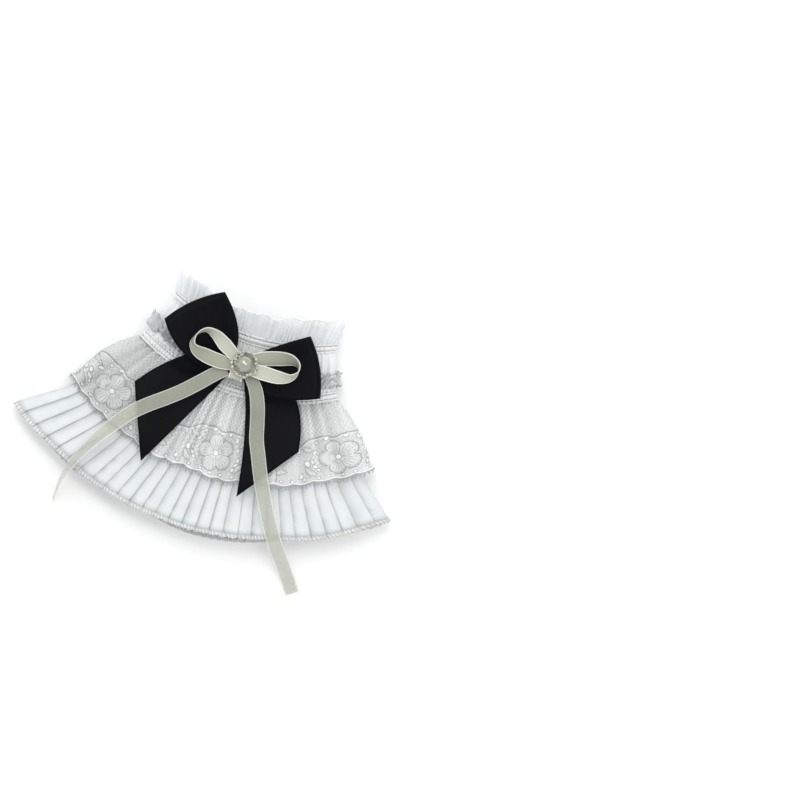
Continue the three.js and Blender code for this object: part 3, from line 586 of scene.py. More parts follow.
# a map of a cloth's surface, so that threads can be laid on it by their place along and down it
class ClothMap:
    def __init__(self, grid):
        self.grid = grid
        self.rows, self.columns = grid.shape[:2]
        along = np.roll(grid, -1, axis=1) - np.roll(grid, 1, axis=1)
        down = np.gradient(grid, axis=0)
        normal = np.cross(down, along)
        self.normal = normal / np.maximum(1e-9, np.linalg.norm(normal, axis=2))[:, :, None]

    def place(self, u, v, rise):
        # u from 0 to 1 round, v from 0 to 1 down, rise outwards in mm
        i = (np.asarray(u) % 1) * self.columns
        j = np.clip(v, 0, 1) * (self.rows - 1)
        i0, j0 = np.floor(i).astype(int) % self.columns, np.minimum(self.rows - 2, np.floor(j).astype(int))
        fi, fj = (i - np.floor(i))[:, None], (j - j0)[:, None]
        i1, j1 = (i0 + 1) % self.columns, j0 + 1
        spot, normal = (
            (field[j0, i0] * (1 - fi) + field[j0, i1] * fi) * (1 - fj)
            + (field[j1, i0] * (1 - fi) + field[j1, i1] * fi) * fj
            for field in (self.grid, self.normal)
        )
        return spot + normal * np.asarray(rise)[:, None]


class ThreadWork:
    # gathers threads and patches that lie on a cloth map into one mesh
    def __init__(self, clothMap, width, height, phase=0.0):
        self.map, self.width, self.height, self.phase = clothMap, width, height, phase
        self.points, self.faces, self.finish, self.weave, self.shares = [], [], [], [], []
        self.count = 0

    def add(self, places, faces, finish):
        # places hold along and down in mm of cloth, and the rise; what hangs past the edge hangs straight
        places = np.asarray(places, float)
        shares = np.column_stack([places[:, 0] / self.width + self.phase, places[:, 1] / self.height])
        points = self.map.place(shares[:, 0], shares[:, 1], places[:, 2])
        points[:, 1] -= np.maximum(0, places[:, 1] - self.height)
        points[:, 2] = np.maximum(points[:, 2], 0.02)
        self.points.append(points)
        self.shares.append(shares)
        self.weave.append(places[:, :2] * mm)
        self.faces += [tuple(self.count + index for index in face) for face in faces]
        self.finish += [finish] * len(faces)
        self.count += len(places)

    def thread(self, line, width, rise, finish=0, lift=0.0, closed=False, sides=4):
        line = np.asarray(line, float)
        n = len(line)
        if closed:
            along = np.roll(line, -1, axis=0) - np.roll(line, 1, axis=0)
        else:
            along = np.gradient(line, axis=0)
        along /= np.maximum(1e-9, np.linalg.norm(along, axis=1))[:, None]
        side = np.column_stack([-along[:, 1], along[:, 0]])
        places = np.zeros((n, sides, 3))
        for k in range(sides):
            turn = k * fullTurn / sides
            places[:, k, :2] = line + side * (math.cos(turn) * width / 2)
            places[:, k, 2] = lift + rise * math.sin(turn)
        faces = []
        for a in range(n if closed else n - 1):
            here, ahead = a * sides, (a + 1) % n * sides
            for k in range(sides):
                beside = (k + 1) % sides
                faces.append((here + k, here + beside, ahead + beside, ahead + k))
        if not closed:
            faces.append(tuple(range(sides))[::-1])
            faces.append(tuple((n - 1) * sides + k for k in range(sides)))
        self.add(places.reshape(-1, 3), faces, finish)

    def patch(self, rings, thickness, finish, lift):
        # rings of places from the inside of a patch to its edge, closed above and below
        rings = np.asarray(rings, float)
        count, n = rings.shape[:2]
        flat = rings.reshape(-1, 2)
        both = [np.column_stack([flat, np.full(len(flat), lift + side * thickness / 2)]) for side in (1, -1)]
        under = count * n
        faces = []
        for r in range(count - 1):
            for k in range(n):
                a, b, c, d = r * n + k, r * n + (k + 1) % n, (r + 1) * n + (k + 1) % n, (r + 1) * n + k
                faces += [(a, d, c, b), (under + a, under + b, under + c, under + d)]
        for r, turned in ((0, False), (count - 1, True)):
            for k in range(n):
                a, b = r * n + k, r * n + (k + 1) % n
                face = (a, b, under + b, under + a)
                faces.append(face[::-1] if turned else face)
        self.add(np.vstack(both), faces, finish)

    def piece(self, name, materials):
        points, weave = np.vstack(self.points), np.vstack(self.weave)
        made = newPiece(name, points, self.faces, materials, weave, self.finish)
        only(made)
        bpy.ops.object.mode_set(mode="EDIT")
        bpy.ops.mesh.select_all(action="SELECT")
        bpy.ops.mesh.normals_make_consistent(inside=False)
        bpy.ops.object.mode_set(mode="OBJECT")
        return made


# overlocked hem: a thick folded edge with thread loops over it
hem = {"wall": 0.5, "overlap": 0.15, "lowest": 0.34, "rough": 0.22, "stitchPitch": 0.95, "lean": 0.55,
       "stitchWidth": 0.42, "stitchRise": 0.16, "chainWidth": 0.35, "chainStep": 0.6, "chainSwing": 0.12}


def makeHem():
    rows = []
    for share in (0, 0.35, 0.7, 1):
        down = skirtEnd - hem["overlap"] + skirt["hemWidth"] * share
        shares = pleatColumns((down - laceTop) / (cuff["hemDown"] - laceTop))[0]
        rough = hem["rough"] * share * wander(shares, 55, 60, 70)
        rows.append(skirtRow(down, hem["wall"], hemSlip(shares, 1.0) + rough, lowest=hem["lowest"]))
    grid = np.array(rows)
    edge = ringSheet("hem_edge_band", grid, clothRun, skirt["hemWidth"], hemThread, hem["wall"])
    work = ThreadWork(ClothMap(grid), clothRun, skirt["hemWidth"])
    for k in range(int(clothRun / hem["stitchPitch"])):
        start = k * hem["stitchPitch"]
        for side in (1, -1):
            line = [(start + side * hem["lean"] * t, skirt["hemWidth"] * t) for t in (0.02, 0.5, 0.99)]
            work.thread(line, hem["stitchWidth"], hem["stitchRise"], lift=side * hem["wall"] * 0.55)
    chain = [(t, hem["chainSwing"] * (1 + math.sin(fullTurn * t / hem["stitchPitch"])))
             for t in np.arange(0, clothRun, hem["chainStep"])]
    work.thread(chain, hem["chainWidth"], hem["stitchRise"], lift=hem["wall"] * 0.6, closed=True)
    stitches = work.piece("hem_edge_stitches", [hemStitchThread])
    return finishPiece(edge, "hem_thread", "hem_edge"), finishPiece(stitches, "hem_thread")


hemBand, hemStitches = makeHem()
print("hem made")

# lace: cloth coordinates run along it and down it in millimetres
lace = {"repeats": 5, "repeat": 55.0, "height": 37.3, "rows": 40, "columns": 1296, "ruffles": 17, "folds": 26,
        "gatherCount": 58, "gatherLift": 0.72, "swellWidth": 0.055, "netPitch": 1.95, "netRise": 2.3,
        "netSteps": 31, "phase": -0.04, "groundRows": 22, "groundWall": 0.12}
flower = {"down": 26.3, "radius": 8.2, "eyelet": 1.15, "petals": 5, "veinFrom": 2.4, "veinTo": 6.3,
          "seamTo": 0.56, "around": 15, "aroundReach": 10.7, "aroundLowest": 33.4}
laceWidth = lace["repeats"] * lace["repeat"]
laceShares = np.linspace(0, 1, lace["columns"], endpoint=False)
netCount = round(laceWidth / lace["netPitch"])
netPitch = laceWidth / netCount
thread, gauze, cord, bright = range(4)
# the kinds of thread in the lace: width, rise and height over the ground in mm, its finish and sides
laceThreads = {
    "net": {"width": 0.24, "rise": 0.1, "finish": thread, "lift": 0.1, "sides": 3},
    "eyelet": {"width": 0.32, "rise": 0.16, "finish": cord, "lift": 0.16, "closed": True},
    "leafEdge": {"width": 0.34, "rise": 0.15, "finish": cord, "lift": 0.14, "closed": True},
    "leafVein": {"width": 0.3, "rise": 0.12, "finish": thread, "lift": 0.16, "sides": 3},
    "petalEdge": {"width": 0.34, "rise": 0.2, "finish": cord, "lift": 0.16, "closed": True},
    "petalSeam": {"width": 0.32, "rise": 0.16, "finish": cord, "lift": 0.2},
    "petalVein": {"width": 0.24, "rise": 0.1, "finish": cord, "lift": 0.2, "sides": 3},
    "stem": {"width": 0.5, "rise": 0.18, "finish": cord, "lift": 0.16},
    "arch": {"width": 0.5, "rise": 0.2, "finish": cord, "lift": 0.16, "closed": True},
    "edge": {"width": 0.5, "rise": 0.2, "finish": cord, "lift": 0.14, "closed": True},
    "edgeInner": {"width": 0.34, "rise": 0.16, "finish": thread, "lift": 0.12, "closed": True, "sides": 3},
    "edgeBright": {"width": 0.75, "rise": 0.24, "finish": bright, "lift": 0.16, "closed": True},
    "archBright": {"width": 0.5, "rise": 0.2, "finish": bright, "lift": 0.14, "closed": True},
    "top": {"width": 0.6, "rise": 0.2, "finish": thread, "lift": 0.1, "closed": True},
    "lash": {"width": 0.36, "rise": 0.14, "finish": cord, "lift": 0.1, "sides": 3},
}


def laceGrid():
    # the lace's own surface: fine gathers at its top, which open into folds, and fuller at the sides
    rows = []
    for down in np.linspace(laceTop - 0.8, cuff["laceDown"], lace["rows"]):
        fall = max(0, down - laceTop) / (cuff["laceDown"] - laceTop)
        fold = laceFold(down)
        swell = fold * gathers(laceShares, lace["ruffles"], 3, 0.7)
        swell += lace["gatherLift"] * (1 - fall) ** 1.3 * gathers(laceShares, lace["gatherCount"], 5, 0.6)
        middle = math.sin(math.pi * min(1, 0.2 + 0.7 * fall))
        swell += 0.8 * middle * gathers(laceShares, lace["folds"], 8, 0.9)
        puff = math.sin(math.pi * min(1, 1.12 * fall)) ** 0.7
        left = 4.4 * puff + 2.4 * (1 - fall) ** 2
        right = 4.2 * puff + 0.6 * (1 - fall) ** 2 + 2.4 * fall ** 4
        swell += sideward(laceShares, lace["swellWidth"], left, right)
        slip = 0.5 * fall * wander(laceShares, 21, 9, 2)
        rows.append(clothRow(down, laceShares, fold * 1.15 + 0.55, 0.3, swell, slip, pressed=0.08))
    return np.array(rows)


def laceShade(shares, falls):
    # painted shade: the lace is darker in its folds and where it turns away at the left
    ruffles = gathers(shares, lace["ruffles"], 3, 0.7)
    folds = gathers(shares, lace["folds"], 8, 0.9)
    # painted shade where the lace turns away from the light at the left side
    fromLeft = (shares - 0.055 + 0.5) % 1 - 0.5
    turned = 0.165 * np.exp(-(fromLeft / 0.07) ** 2)
    return 1.06 - 0.05 * (1 - ruffles) * (0.3 + 0.7 * np.clip(falls, 0, 1)) - 0.055 * (1 - folds) - turned


laceMap = ClothMap(laceGrid())
work = ThreadWork(laceMap, laceWidth, lace["height"], lace["phase"])


def lay(line, kind):
    work.thread(line, **laceThreads[kind])


def rays(turn, *reaches):
    # points at some distances from a centre, all in one direction
    return [reach * np.array([math.cos(turn), math.sin(turn)]) for reach in reaches]


def underFlower(u, v):
    du = (u % lace["repeat"]) - lace["repeat"] / 2
    return math.hypot(du, v - flower["down"]) < flower["radius"] * 0.86 - 0.3


def archLine(u):
    # the heavy thread that runs over the flowers and down between them
    turn = fullTurn * (u / lace["repeat"] - 0.5)
    return 18.2 - 2.6 * math.cos(turn) + 0.8 * math.cos(3 * turn) + 0.35 * math.cos(7 * turn)


def edgeLine(u):
    # the scalloped edge, seven scallops to a repeat
    return lace["height"] - 0.9 + 0.9 * abs(math.sin(math.pi * u * 7 / lace["repeat"]))


def petalEdge(turn):
    wave = abs(math.cos(flower["petals"] * turn / 2 + math.pi / 2))
    return flower["radius"] * (0.62 + 0.38 * wave ** 0.45)


def addNet():
    # two families of slanting threads, left out under the flowers
    for k in range(int(laceWidth / netPitch)):
        for lean in (1, -1):
            line = []
            for step in range(lace["netSteps"]):
                v = step * lace["netRise"] / 2
                u = k * netPitch + lean * netPitch / lace["netRise"] * v
                if v <= edgeLine(u) and not underFlower(u, v):
                    line.append((u, v))
                    continue
                if len(line) > 1:
                    lay(line, "net")
                line = []
            if len(line) > 1:
                lay(line, "net")


def addEyelet(u, v, half, tall, lean=0.0, steps=12):
    # a hole worked round with thread; a bright patch fills it, painted light standing in for the lit cloth
    # that shows through
    turns = np.arange(steps) * fullTurn / steps
    a, b = half * np.cos(turns), tall * np.sin(turns)
    c, s = math.cos(lean), math.sin(lean)
    ring = np.column_stack([u + a * c - b * s, v + a * s + b * c])
    centre = np.array([u, v])
    work.patch([centre + (ring - centre) * 0.06, ring], 0.12, bright, lift=0.16)
    lay(ring, "eyelet")


def addLeaf(u, v, length, width, lean):
    # a pointed leaf from its foot at u, v, leaning from the downward direction
    t = np.linspace(0, 1, 7)
    half = width / 2 * np.sin(math.pi * t) ** 0.8 * (1 - 0.25 * t)
    bend = 0.12 * length * np.sin(math.pi * t)
    left = np.column_stack([bend - half, t * length])
    right = np.column_stack([bend + half, t * length])
    edge = np.vstack([left, right[::-1][1:-1]])
    c, s = math.cos(lean), math.sin(lean)
    turned = np.column_stack([u + edge[:, 0] * c + edge[:, 1] * s, v - edge[:, 0] * s + edge[:, 1] * c])
    middle = turned.mean(axis=0)
    work.patch([middle + (turned - middle) * 0.04, turned], 0.16, gauze, lift=0.08)
    lay(turned, "leafEdge")
    lay(np.column_stack([u + bend * c + t * length * s, v - bend * s + t * length * c]), "leafVein")


def addFlower(centre):
    turns = np.arange(60) * fullTurn / 60
    outside = np.array([petalEdge(turn) for turn in turns])[:, None]
    ring = np.column_stack([np.cos(turns), np.sin(turns)])
    rings = [centre + ring * (flower["eyelet"] * (1 - t) + outside * t) for t in (0, 0.3, 0.65, 1)]
    work.patch(rings, 0.18, gauze, lift=0.1)
    lay(rings[-1], "petalEdge")
    addEyelet(*centre, flower["eyelet"], flower["eyelet"])
    for k in range(flower["petals"]):
        turn = fullTurn * (k + 1) / flower["petals"]
        foot, tip = rays(turn, flower["eyelet"] + 0.4, flower["seamTo"] * flower["radius"])
        lay(np.linspace(centre + foot, centre + tip, 4), "petalSeam")
        vein = turn + math.pi / flower["petals"]
        for spread in (-0.36, -0.12, 0.12, 0.36):
            start, end = rays(vein + spread, flower["veinFrom"], flower["veinTo"])
            lay(np.linspace(centre + start, centre + end, 3), "petalVein")
    # eyelets stand round the flower, inside the arch and the edge
    for k in range(flower["around"]):
        turn = fullTurn * (k + 0.3) / flower["around"]
        u, v = centre + rays(turn, flower["aroundReach"] + 0.5 * math.sin(3 * k))[0]
        if archLine(u) + 1.2 < v < flower["aroundLowest"]:
            half, tall = 0.68 + 0.12 * math.sin(7 * k), 1.1 + 0.25 * math.sin(4 * k)
            addEyelet(u, v, half, tall, turn + 0.4 * math.sin(5 * k))


def addBranch(base):
    # a branch of curled leaves stands between the flowers
    lay([(base + 0.9 * math.sin(v / 4.2), v) for v in np.linspace(archLine(base) - 4.5, 35.2, 18)], "stem")
    for k, v in enumerate(np.linspace(17.5, 31.5, 5)):
        for side in (1, -1):
            addLeaf(base + side * 0.5, v, 6.4 - 0.35 * k, 2.9, side * (2.25 - 0.13 * k))


# leaves and eyelets at both sides of a flower: out from its middle, down, sizes and lean
sideLeaves = [(9.6, 33.6, 6.6, 2.6, 2.35), (9.9, 22.0, 5.6, 2.4, 2.0)]
sideEyelets = [(13.2, 27.8, 1.0, 1.5, 0.4), (16.2, 33.2, 0.8, 1.2, -0.5), (10.2, 29.6, 0.7, 1.1, 0.9),
               (16.8, 21.6, 0.9, 1.3, 0.2)]


def makeLace():
    addNet()
    for repeat in range(lace["repeats"]):
        base = repeat * lace["repeat"]
        middle = base + lace["repeat"] / 2
        addFlower(np.array([middle, flower["down"]]))
        addBranch(base)
        for side in (1, -1):
            for out, down, length, width, lean in sideLeaves:
                addLeaf(middle + side * out, down, length, width, side * lean)
            for out, down, half, tall, lean in sideEyelets:
                addEyelet(middle + side * out, down, half, tall, side * lean)
        for k in range(-5, 6):
            addEyelet(middle + k * 4.9 + 0.4 * math.sin(5 * k), 35.0 - 0.25 * abs(k % 2), 0.75, 0.55)
    steps = np.arange(0, laceWidth, 0.75)
    for kind, line, raised in (("arch", archLine, 0), ("edge", edgeLine, 0), ("edgeInner", edgeLine, -3.3),
                               ("edgeBright", edgeLine, -0.75), ("archBright", archLine, 0.8)):
        lay([(u, line(u) + raised) for u in steps], kind)
    lay([(u, 0.3) for u in steps[::2]], "top")
    # short lash threads below the scalloped edge
    for k, u in enumerate(np.arange(0, laceWidth, 1.4)):
        edge = edgeLine(u)
        tip = edge + 1.75 + 0.3 * math.sin(9.1 * k)
        lay([(u, edge - 0.2), (u + 0.1, (edge + tip) / 2), (u + 0.15, tip)], "lash")
    piece = work.piece("lace_flounce_work", laceFinishes)
    shares = np.vstack(work.shares)
    shadeFolds(piece, laceShade(shares[:, 0], shares[:, 1]))
    return finishPiece(piece, "lace", "lace_flounce")


def makeLaceGround():
    # the fine ground that the threads and flowers are worked on, down to the scalloped edge
    falls = np.linspace(0, 1, lace["groundRows"])
    shares = laceShares + lace["phase"]
    along = laceShares * laceWidth
    edges = np.array([edgeLine(u) for u in along])
    grid = np.array([laceMap.place(shares, fall * edges / lace["height"], along * 0) for fall in falls])
    piece = ringSheet("lace_flounce_ground", grid, laceWidth, lace["height"], tulle, lace["groundWall"])
    shadeFolds(piece, [laceShade(shares, fall) for fall in falls])
    return finishPiece(piece, "lace"), cutOf(grid)


lacePiece = makeLace()
laceGround, laceCut = makeLaceGround()
print("lace made,", len(lacePiece.data.polygons), "faces")

# gathered chiffon between the casings
band = {"wall": 0.22, "gathers": 78, "depth": 0.42, "coarse": 31, "coarseDepth": 0.5, "rows": 16,
        "inset": 1.0, "insetBelow": 2.9, "run": 320, "fall": 20}


def makeBand():
    top = cuff["upperDown"] + cuff["casingHalf"]
    end = cuff["lowerDown"] - cuff["casingHalf"]
    fine = gathers(ringShares, band["gathers"], 41, 0.9)
    coarse = gathers(ringShares, band["coarse"], 47, 0.8)
    rows = []
    for down in np.linspace(top - 0.3, end + 0.3, band["rows"]):
        loose = math.sin(math.pi * min(1, max(0, (down - top) / (end - top))))
        lift = band["depth"] * (0.55 + 0.45 * loose) * fine + band["coarseDepth"] * loose * coarse
        lift += sideward(ringShares)
        rows.append(clothRow(down, ringShares, band["inset"], band["insetBelow"], lift))
    grid = np.array(rows)
    piece = ringSheet("gathered_chiffon", grid, band["run"], band["fall"], casingCloth, band["wall"])
    return finishPiece(piece, "chiffon", "gathered_band"), cutOf(grid)


# casings: an elastic lies between two stitched lines, and the cloth puckers over it
casing = {"wall": 0.25, "puckers": 104, "puckerDepth": 0.34, "puff": 0.95, "stitchRow": 0.48,
          "stitchRun": 180.0, "stitchPitch": 2.3, "stitchLength": 1.8, "stitchWidth": 0.34,
          "stitchRise": 0.16}
casingProfile = [(-1, -0.1), (-0.88, 0.5), (-0.68, 0.45), (-0.48, -0.5), (-0.3, 0.4), (0, 0.85), (0.3, 0.4),
                 (0.48, -0.5), (0.68, 0.45), (0.88, 0.5), (1, -0.1)]


def makeCasing(label, middle, seed):
    puckers = gathers(ringShares, casing["puckers"], seed, 0.8)
    half = cuff["casingHalf"]
    rows = []
    for place, puff in casingProfile:
        fold = casing["puckerDepth"] * (1 - 0.6 * max(0, puff)) * puckers
        lift = casing["puff"] * puff + fold + sideward(ringShares)
        rows.append(clothRow(middle + half * place, ringShares, band["inset"], band["insetBelow"], lift))
    grid = np.array(rows)
    piece = ringSheet(label + "_elastic_casing", grid, band["run"], 2 * half, casingCloth, casing["wall"])
    finishPiece(piece, "chiffon", label + "_casing")
    seams = ThreadWork(ClothMap(grid), casing["stitchRun"], 2 * half)
    for row in (-casing["stitchRow"], casing["stitchRow"]):
        for k in range(int(casing["stitchRun"] / casing["stitchPitch"])):
            start = k * casing["stitchPitch"]
            line = [(start + t, half * (1 + row)) for t in np.linspace(0, casing["stitchLength"], 4)]
            seams.thread(line, casing["stitchWidth"], casing["stitchRise"], lift=casing["stitchRise"])
    finishPiece(seams.piece(label + "_casing_stitches", [stitchThread]), "chiffon")


bandPiece, bandCut = makeBand()
makeCasing("upper", cuff["upperDown"], 61)
makeCasing("lower", cuff["lowerDown"], 67)
print("band and casings made")

# heading frill above the upper casing; a flare stands at its share of the ring, so wide and so high
frill = {"wall": 0.16, "ruffles": 27, "gathers": 74, "depth": 1.45, "rows": 15, "run": 420, "fall": 10,
         "flares": ((0.07, 0.045, 2.8), (0.28, 0.05, 1.7), (0.4, 0.07, 2.9), (0.47, 0.025, 1.6))}


def makeFrill():
    end = cuff["upperDown"] - cuff["casingHalf"]
    loose = gathers(ringShares, frill["ruffles"], 73, 0.55)
    tight = gathers(ringShares, frill["gathers"], 79, 0.9)
    rows, shades = [], []
    for t in np.linspace(0, 1, frill["rows"]):
        opened = (1 - t) ** 1.3
        # painted shade in the hollows of the gathers, deeper where the frill opens out
        shades.append(1 - 0.055 * (1 - loose) * (0.4 + 0.6 * opened) - 0.03 * (1 - tight))
        lift = frill["depth"] * opened * loose + (0.1 + 0.33 * t) * tight
        lift += 0.3 * opened * wander(ringShares, 83, 16, 24)
        left, right = cuff["leftSwell"] * (1 - 0.2 * opened), cuff["rightSwell"] + 0.5 * opened
        lift += sideward(ringShares, left=left, right=right)
        slip = -0.8 * opened * wander(ringShares, 89, 16, 4)
        for place, width, rise in frill["flares"]:
            slip -= rise * opened * np.exp(-(((ringShares - place + 0.5) % 1 - 0.5) / width) ** 2)
        rows.append(clothRow((end + 0.2) * t, ringShares, 1.0 + 1.3 * opened, 1.3 + 1.6 * t, lift, slip))
    piece = ringSheet("heading_frill", np.array(rows), frill["run"], frill["fall"], frillGauze, frill["wall"])
    shadeFolds(piece, shades)
    return finishPiece(piece, "chiffon", "wrist_frill")


frillPiece = makeFrill()
print("frill made")

# ruched organza trim, gathered along its middle so that both edges curl
trim = {"wall": 0.14, "curls": 58, "depth": 0.9, "rows": 17, "leftSwell": 3.6, "rightSwell": 0.8,
        "swellWidth": 0.045, "swing": 0.7, "flare": 0.5, "crumple": 0.5, "run": 480, "fall": 7,
        "edgeIn": 0.06, "edgeStep": 0.6, "edgeWidth": 0.28, "edgeRise": 0.13}


def makeTrim():
    curls = [gathers(ringShares, trim["curls"] + more, seed, 1.1) for more, seed in ((0, 97), (7, 101))]
    ripple = wander(ringShares, 103, 24, 60)
    creases = 2.4 * wander(ringShares, 113, 14, 8)
    swell = sideward(ringShares, trim["swellWidth"], trim["leftSwell"], trim["rightSwell"])
    turn = fullTurn * (trim["curls"] * ringShares + 0.5 * wander(ringShares, 109, 12, 4))
    rows, shades = [], []
    for place in np.linspace(-1, 1, trim["rows"]):
        out = abs(place)
        own = curls[0] if place < 0 else curls[1]
        crumple = np.sin(fullTurn * (1.1 * place + creases))
        lift = 0.5 + out ** 1.2 * (trim["flare"] + trim["depth"] * own) + 0.24 * ripple * (0.3 + out)
        lift = np.maximum(0.0, lift + trim["crumple"] * crumple) + swell
        # painted shade: darker in the crumple's creases and where the ripple is high, more towards the edges
        shades.append(1 - 0.42 * (0.5 - 0.5 * crumple) ** 2.5 - 0.12 * np.maximum(0, ripple) * (0.4 + out))
        slip = trim["swing"] * out ** 1.3 * np.sin(turn + 1.3 + 2 * place) * (1 if place > 0 else -1)
        slip += 0.35 * out * wander(ringShares, 107, 16, 20)
        down = cuff["trimDown"] + cuff["trimWidth"] / 2 * place
        rows.append(clothRow(down, ringShares, -0.1, 2.3, lift, slip, pressed=0.3))
    grid = np.array(rows)
    edges = ThreadWork(ClothMap(grid), trim["run"], cuff["trimWidth"])
    for edge in (trim["edgeIn"], cuff["trimWidth"] - trim["edgeIn"]):
        line = [(u, edge) for u in np.arange(0, trim["run"], trim["edgeStep"])]
        edges.thread(line, trim["edgeWidth"], trim["edgeRise"], closed=True, sides=3)
    finishPiece(edges.piece("ruched_organza_edges", [trimThread]), "chiffon")
    piece = ringSheet("ruched_organza", grid, trim["run"], trim["fall"], organza, trim["wall"])
    shadeFolds(piece, shades)
    finishPiece(piece, "chiffon", "ruched_trim")


makeTrim()
print("trim made")

# wide black bow: each leaf lies between two edges in plan, as shares of its reach
bow = {"wall": 0.4, "loopReach": 38.0, "tailReach": 60.0, "tieHalf": 3.5, "waistHalf": 5.0, "width": 26,
       "loopLevel": 23.6, "waistGap": 1.9, "puff": 5.0, "tailLevel": 22.0, "lift": 1.25, "columns": 25,
       "bulge": 2.0, "sag": 0.7, "ease": 0.3, "loopRun": 80, "tailRun": 60}
leaves = {
    "leftLoop": ((-0.7, -0.2, -0.98, 0.26), (-0.06, 0.43, -0.41, 0.76)),
    "rightLoop": ((0.5, -0.33, 1.0, -0.08), (0.3, 0.34, 0.68, 0.57)),
    "leftTail": ((-0.22, -0.4, -0.48, -0.88), (-0.42, 0.05, -0.7, -0.34)),
    "rightTail": ((0.2, -0.4, 0.265, -0.92), (0.53, 0.06, 0.6, -0.47)),
}
acrossPlaces = np.linspace(0, 1, bow["columns"])


def leafEdge(row, reach, waistY, t):
    # one edge of a leaf, a curve from the waist through its bend; t is below 0 inside the tie
    bendX, bendY, endX, endY = (value * reach for value in row)
    side = math.copysign(1, endX)
    if t < 0:
        return np.array([side * (bow["tieHalf"] * (1 + t) + 0.3), waistY])
    start = np.array([side * bow["tieHalf"], waistY])
    bend, end = np.array([bendX, bendY]), np.array([endX, endY])
    return (1 - t) ** 2 * start + 2 * t * (1 - t) * bend + t * t * end


def leafAt(leaf, reach, t, c, bulge=0.0):
    low = leafEdge(leaf[0], reach, -bow["waistHalf"], t)
    high = leafEdge(leaf[1], reach, bow["waistHalf"], t)
    tips = np.array([row[2:] for row in leaf]) * reach
    outward = np.array([tips[1][1] - tips[0][1], tips[0][0] - tips[1][0]])
    outward *= np.sign(outward @ tips[0]) / np.linalg.norm(outward)
    swell = bulge * max(0, t) ** 3 * 4 * c * (1 - c)
    return low + (high - low) * c + outward * swell + np.array([knot["x"], knot["y"]])


def waistFolds(c, t, seed, fadeIn):
    # soft pleats that run out of the tie and fade along the leaf
    fade = (1 - np.clip(t, 0, 1)) ** 2.2 * (0 if t < 0 else min(1, fadeIn * t))
    return fade * (0.75 * np.cos(fullTurn * (1.6 * c + seed)) + 0.3 * np.cos(fullTurn * (3.1 * c + 2 * seed)))


def bowLoop(side, seed):
    bottom = [(t, 0.0) for t in np.concatenate([[-1, -0.5], np.linspace(0, 0.93, 26)])]
    bend = [(0.93 + 0.07 * math.cos(a), 0.5 + 0.5 * math.sin(a)) for a in np.linspace(-1.35, 1.35, 13)]
    rows = bottom + bend + [(t, 1.0) for t, _ in bottom[::-1]]
    grid = np.zeros((len(rows), bow["columns"], 3))
    for j, (t, rise) in enumerate(rows):
        thickness = bow["waistGap"] + (bow["puff"] - bow["waistGap"]) * max(0, t) ** 0.8
        for i, c in enumerate(acrossPlaces):
            x, y = leafAt(leaves[side + "Loop"], bow["loopReach"], t, c, bow["bulge"])
            fold = waistFolds(c, t, seed, 4) * (0.9 if rise > 0.5 else 0.35)
            sag = -bow["sag"] * math.sin(math.pi * c) * max(0, t) ** 2 * rise
            grid[j, i] = x, y, bow["loopLevel"] + thickness * rise + fold + sag
    weave = weaveOf(*grid.shape[:2], bow["width"], bow["loopRun"])
    piece = sheetOf("black_bow_loop_" + side, grid, weave, blackSatin, bow["wall"], closed=False)
    return finishPiece(piece, "black_satin", "black_loop_" + side)


def bowTail(side, seed):
    ts = np.concatenate([[-1, -0.5], np.linspace(0, 1, 44)])
    grid = np.zeros((len(ts), bow["columns"], 3))
    for j, t in enumerate(ts):
        held = float(smooth(t / 0.24))
        for i, c in enumerate(acrossPlaces):
            x, y = leafAt(leaves[side + "Tail"], bow["tailReach"], t, c)
            laid = coverHeight(x, y) + bow["lift"]
            ease = bow["ease"] * (1 + math.sin(fullTurn * (1.3 * t + c * 0.6 + seed)))
            fold = waistFolds(c, t, seed, 5) * 0.4
            grid[j, i] = x, y, bow["tailLevel"] + (laid - bow["tailLevel"] + ease + fold) * held
    weave = weaveOf(*grid.shape[:2], bow["width"], bow["tailRun"])
    piece = sheetOf("black_bow_tail_" + side, grid, weave, blackSatin, bow["wall"], closed=False)
    return finishPiece(piece, "black_satin", "black_tail_" + side)


blackLoops = [bowLoop("left", 0.15), bowLoop("right", 0.55)]
blackTails = [bowTail("left", 0.3), bowTail("right", 0.7)]
print("black bow made")

# cream loops stand partly on edge, places as shares of their reach
creamLevel = 29.2
creamLoops = {
    "left": [
        (-0.11, -0.02, 0.015, 0, 0.75), (-0.33, -0.025, 0.02, 0, 1), (-0.54, -0.005, 0.04, 8, 1),
        (-0.74, 0.045, 0.11, 38, 1), (-0.845, 0.15, 0.17, 72, 1), (-0.825, 0.29, 0.19, 88, 1),
        (-0.70, 0.41, 0.2, 104, 1), (-0.52, 0.385, 0.2, 132, 1), (-0.324, 0.268, 0.15, 164, 1),
        (-0.1, 0.13, 0.05, 180, 0.8),
    ],
    "right": [
        (0.12, 0.12, 0.04, 0, 0.75), (0.36, 0.235, 0.0, 0, 1), (0.62, 0.32, 0.03, -12, 1),
        (0.83, 0.36, 0.12, -48, 1), (0.96, 0.31, 0.16, -76, 1), (0.99, 0.19, 0.18, -92, 1),
        (0.9, 0.07, 0.19, -116, 1), (0.7, 0.015, 0.17, -150, 1), (0.42, 0.005, 0.1, -176, 1),
        (0.12, 0.0, 0.03, -180, 0.8),
    ],
}
for side, rows in creamLoops.items():
    scaled = np.array(rows) * ([cream["reach"]] * 3 + [1, 1])
    grid, weave, line = ribbonGrid(scaled, np.array([knot["x"], knot["y"], creamLevel]))
    # the loops' inner faces take the darker copy of the satin, painted shade
    loop = sheetOf("cream_bow_loop_" + side, grid, weave, creamInnerShade, cream["wall"], False, creamFold)
    finishPiece(loop, "cream_satin", "cream_loop_" + side)
print("cream loops made")

# the tie goes round the waist of the black bow, and ends in a small folded knot
tie = {"halfSpan": 6.1, "low": 20.7, "top": 28.7, "width": 6.0, "wall": 0.55, "corner": 1.6, "cornerSteps": 9,
       "columns": 17}


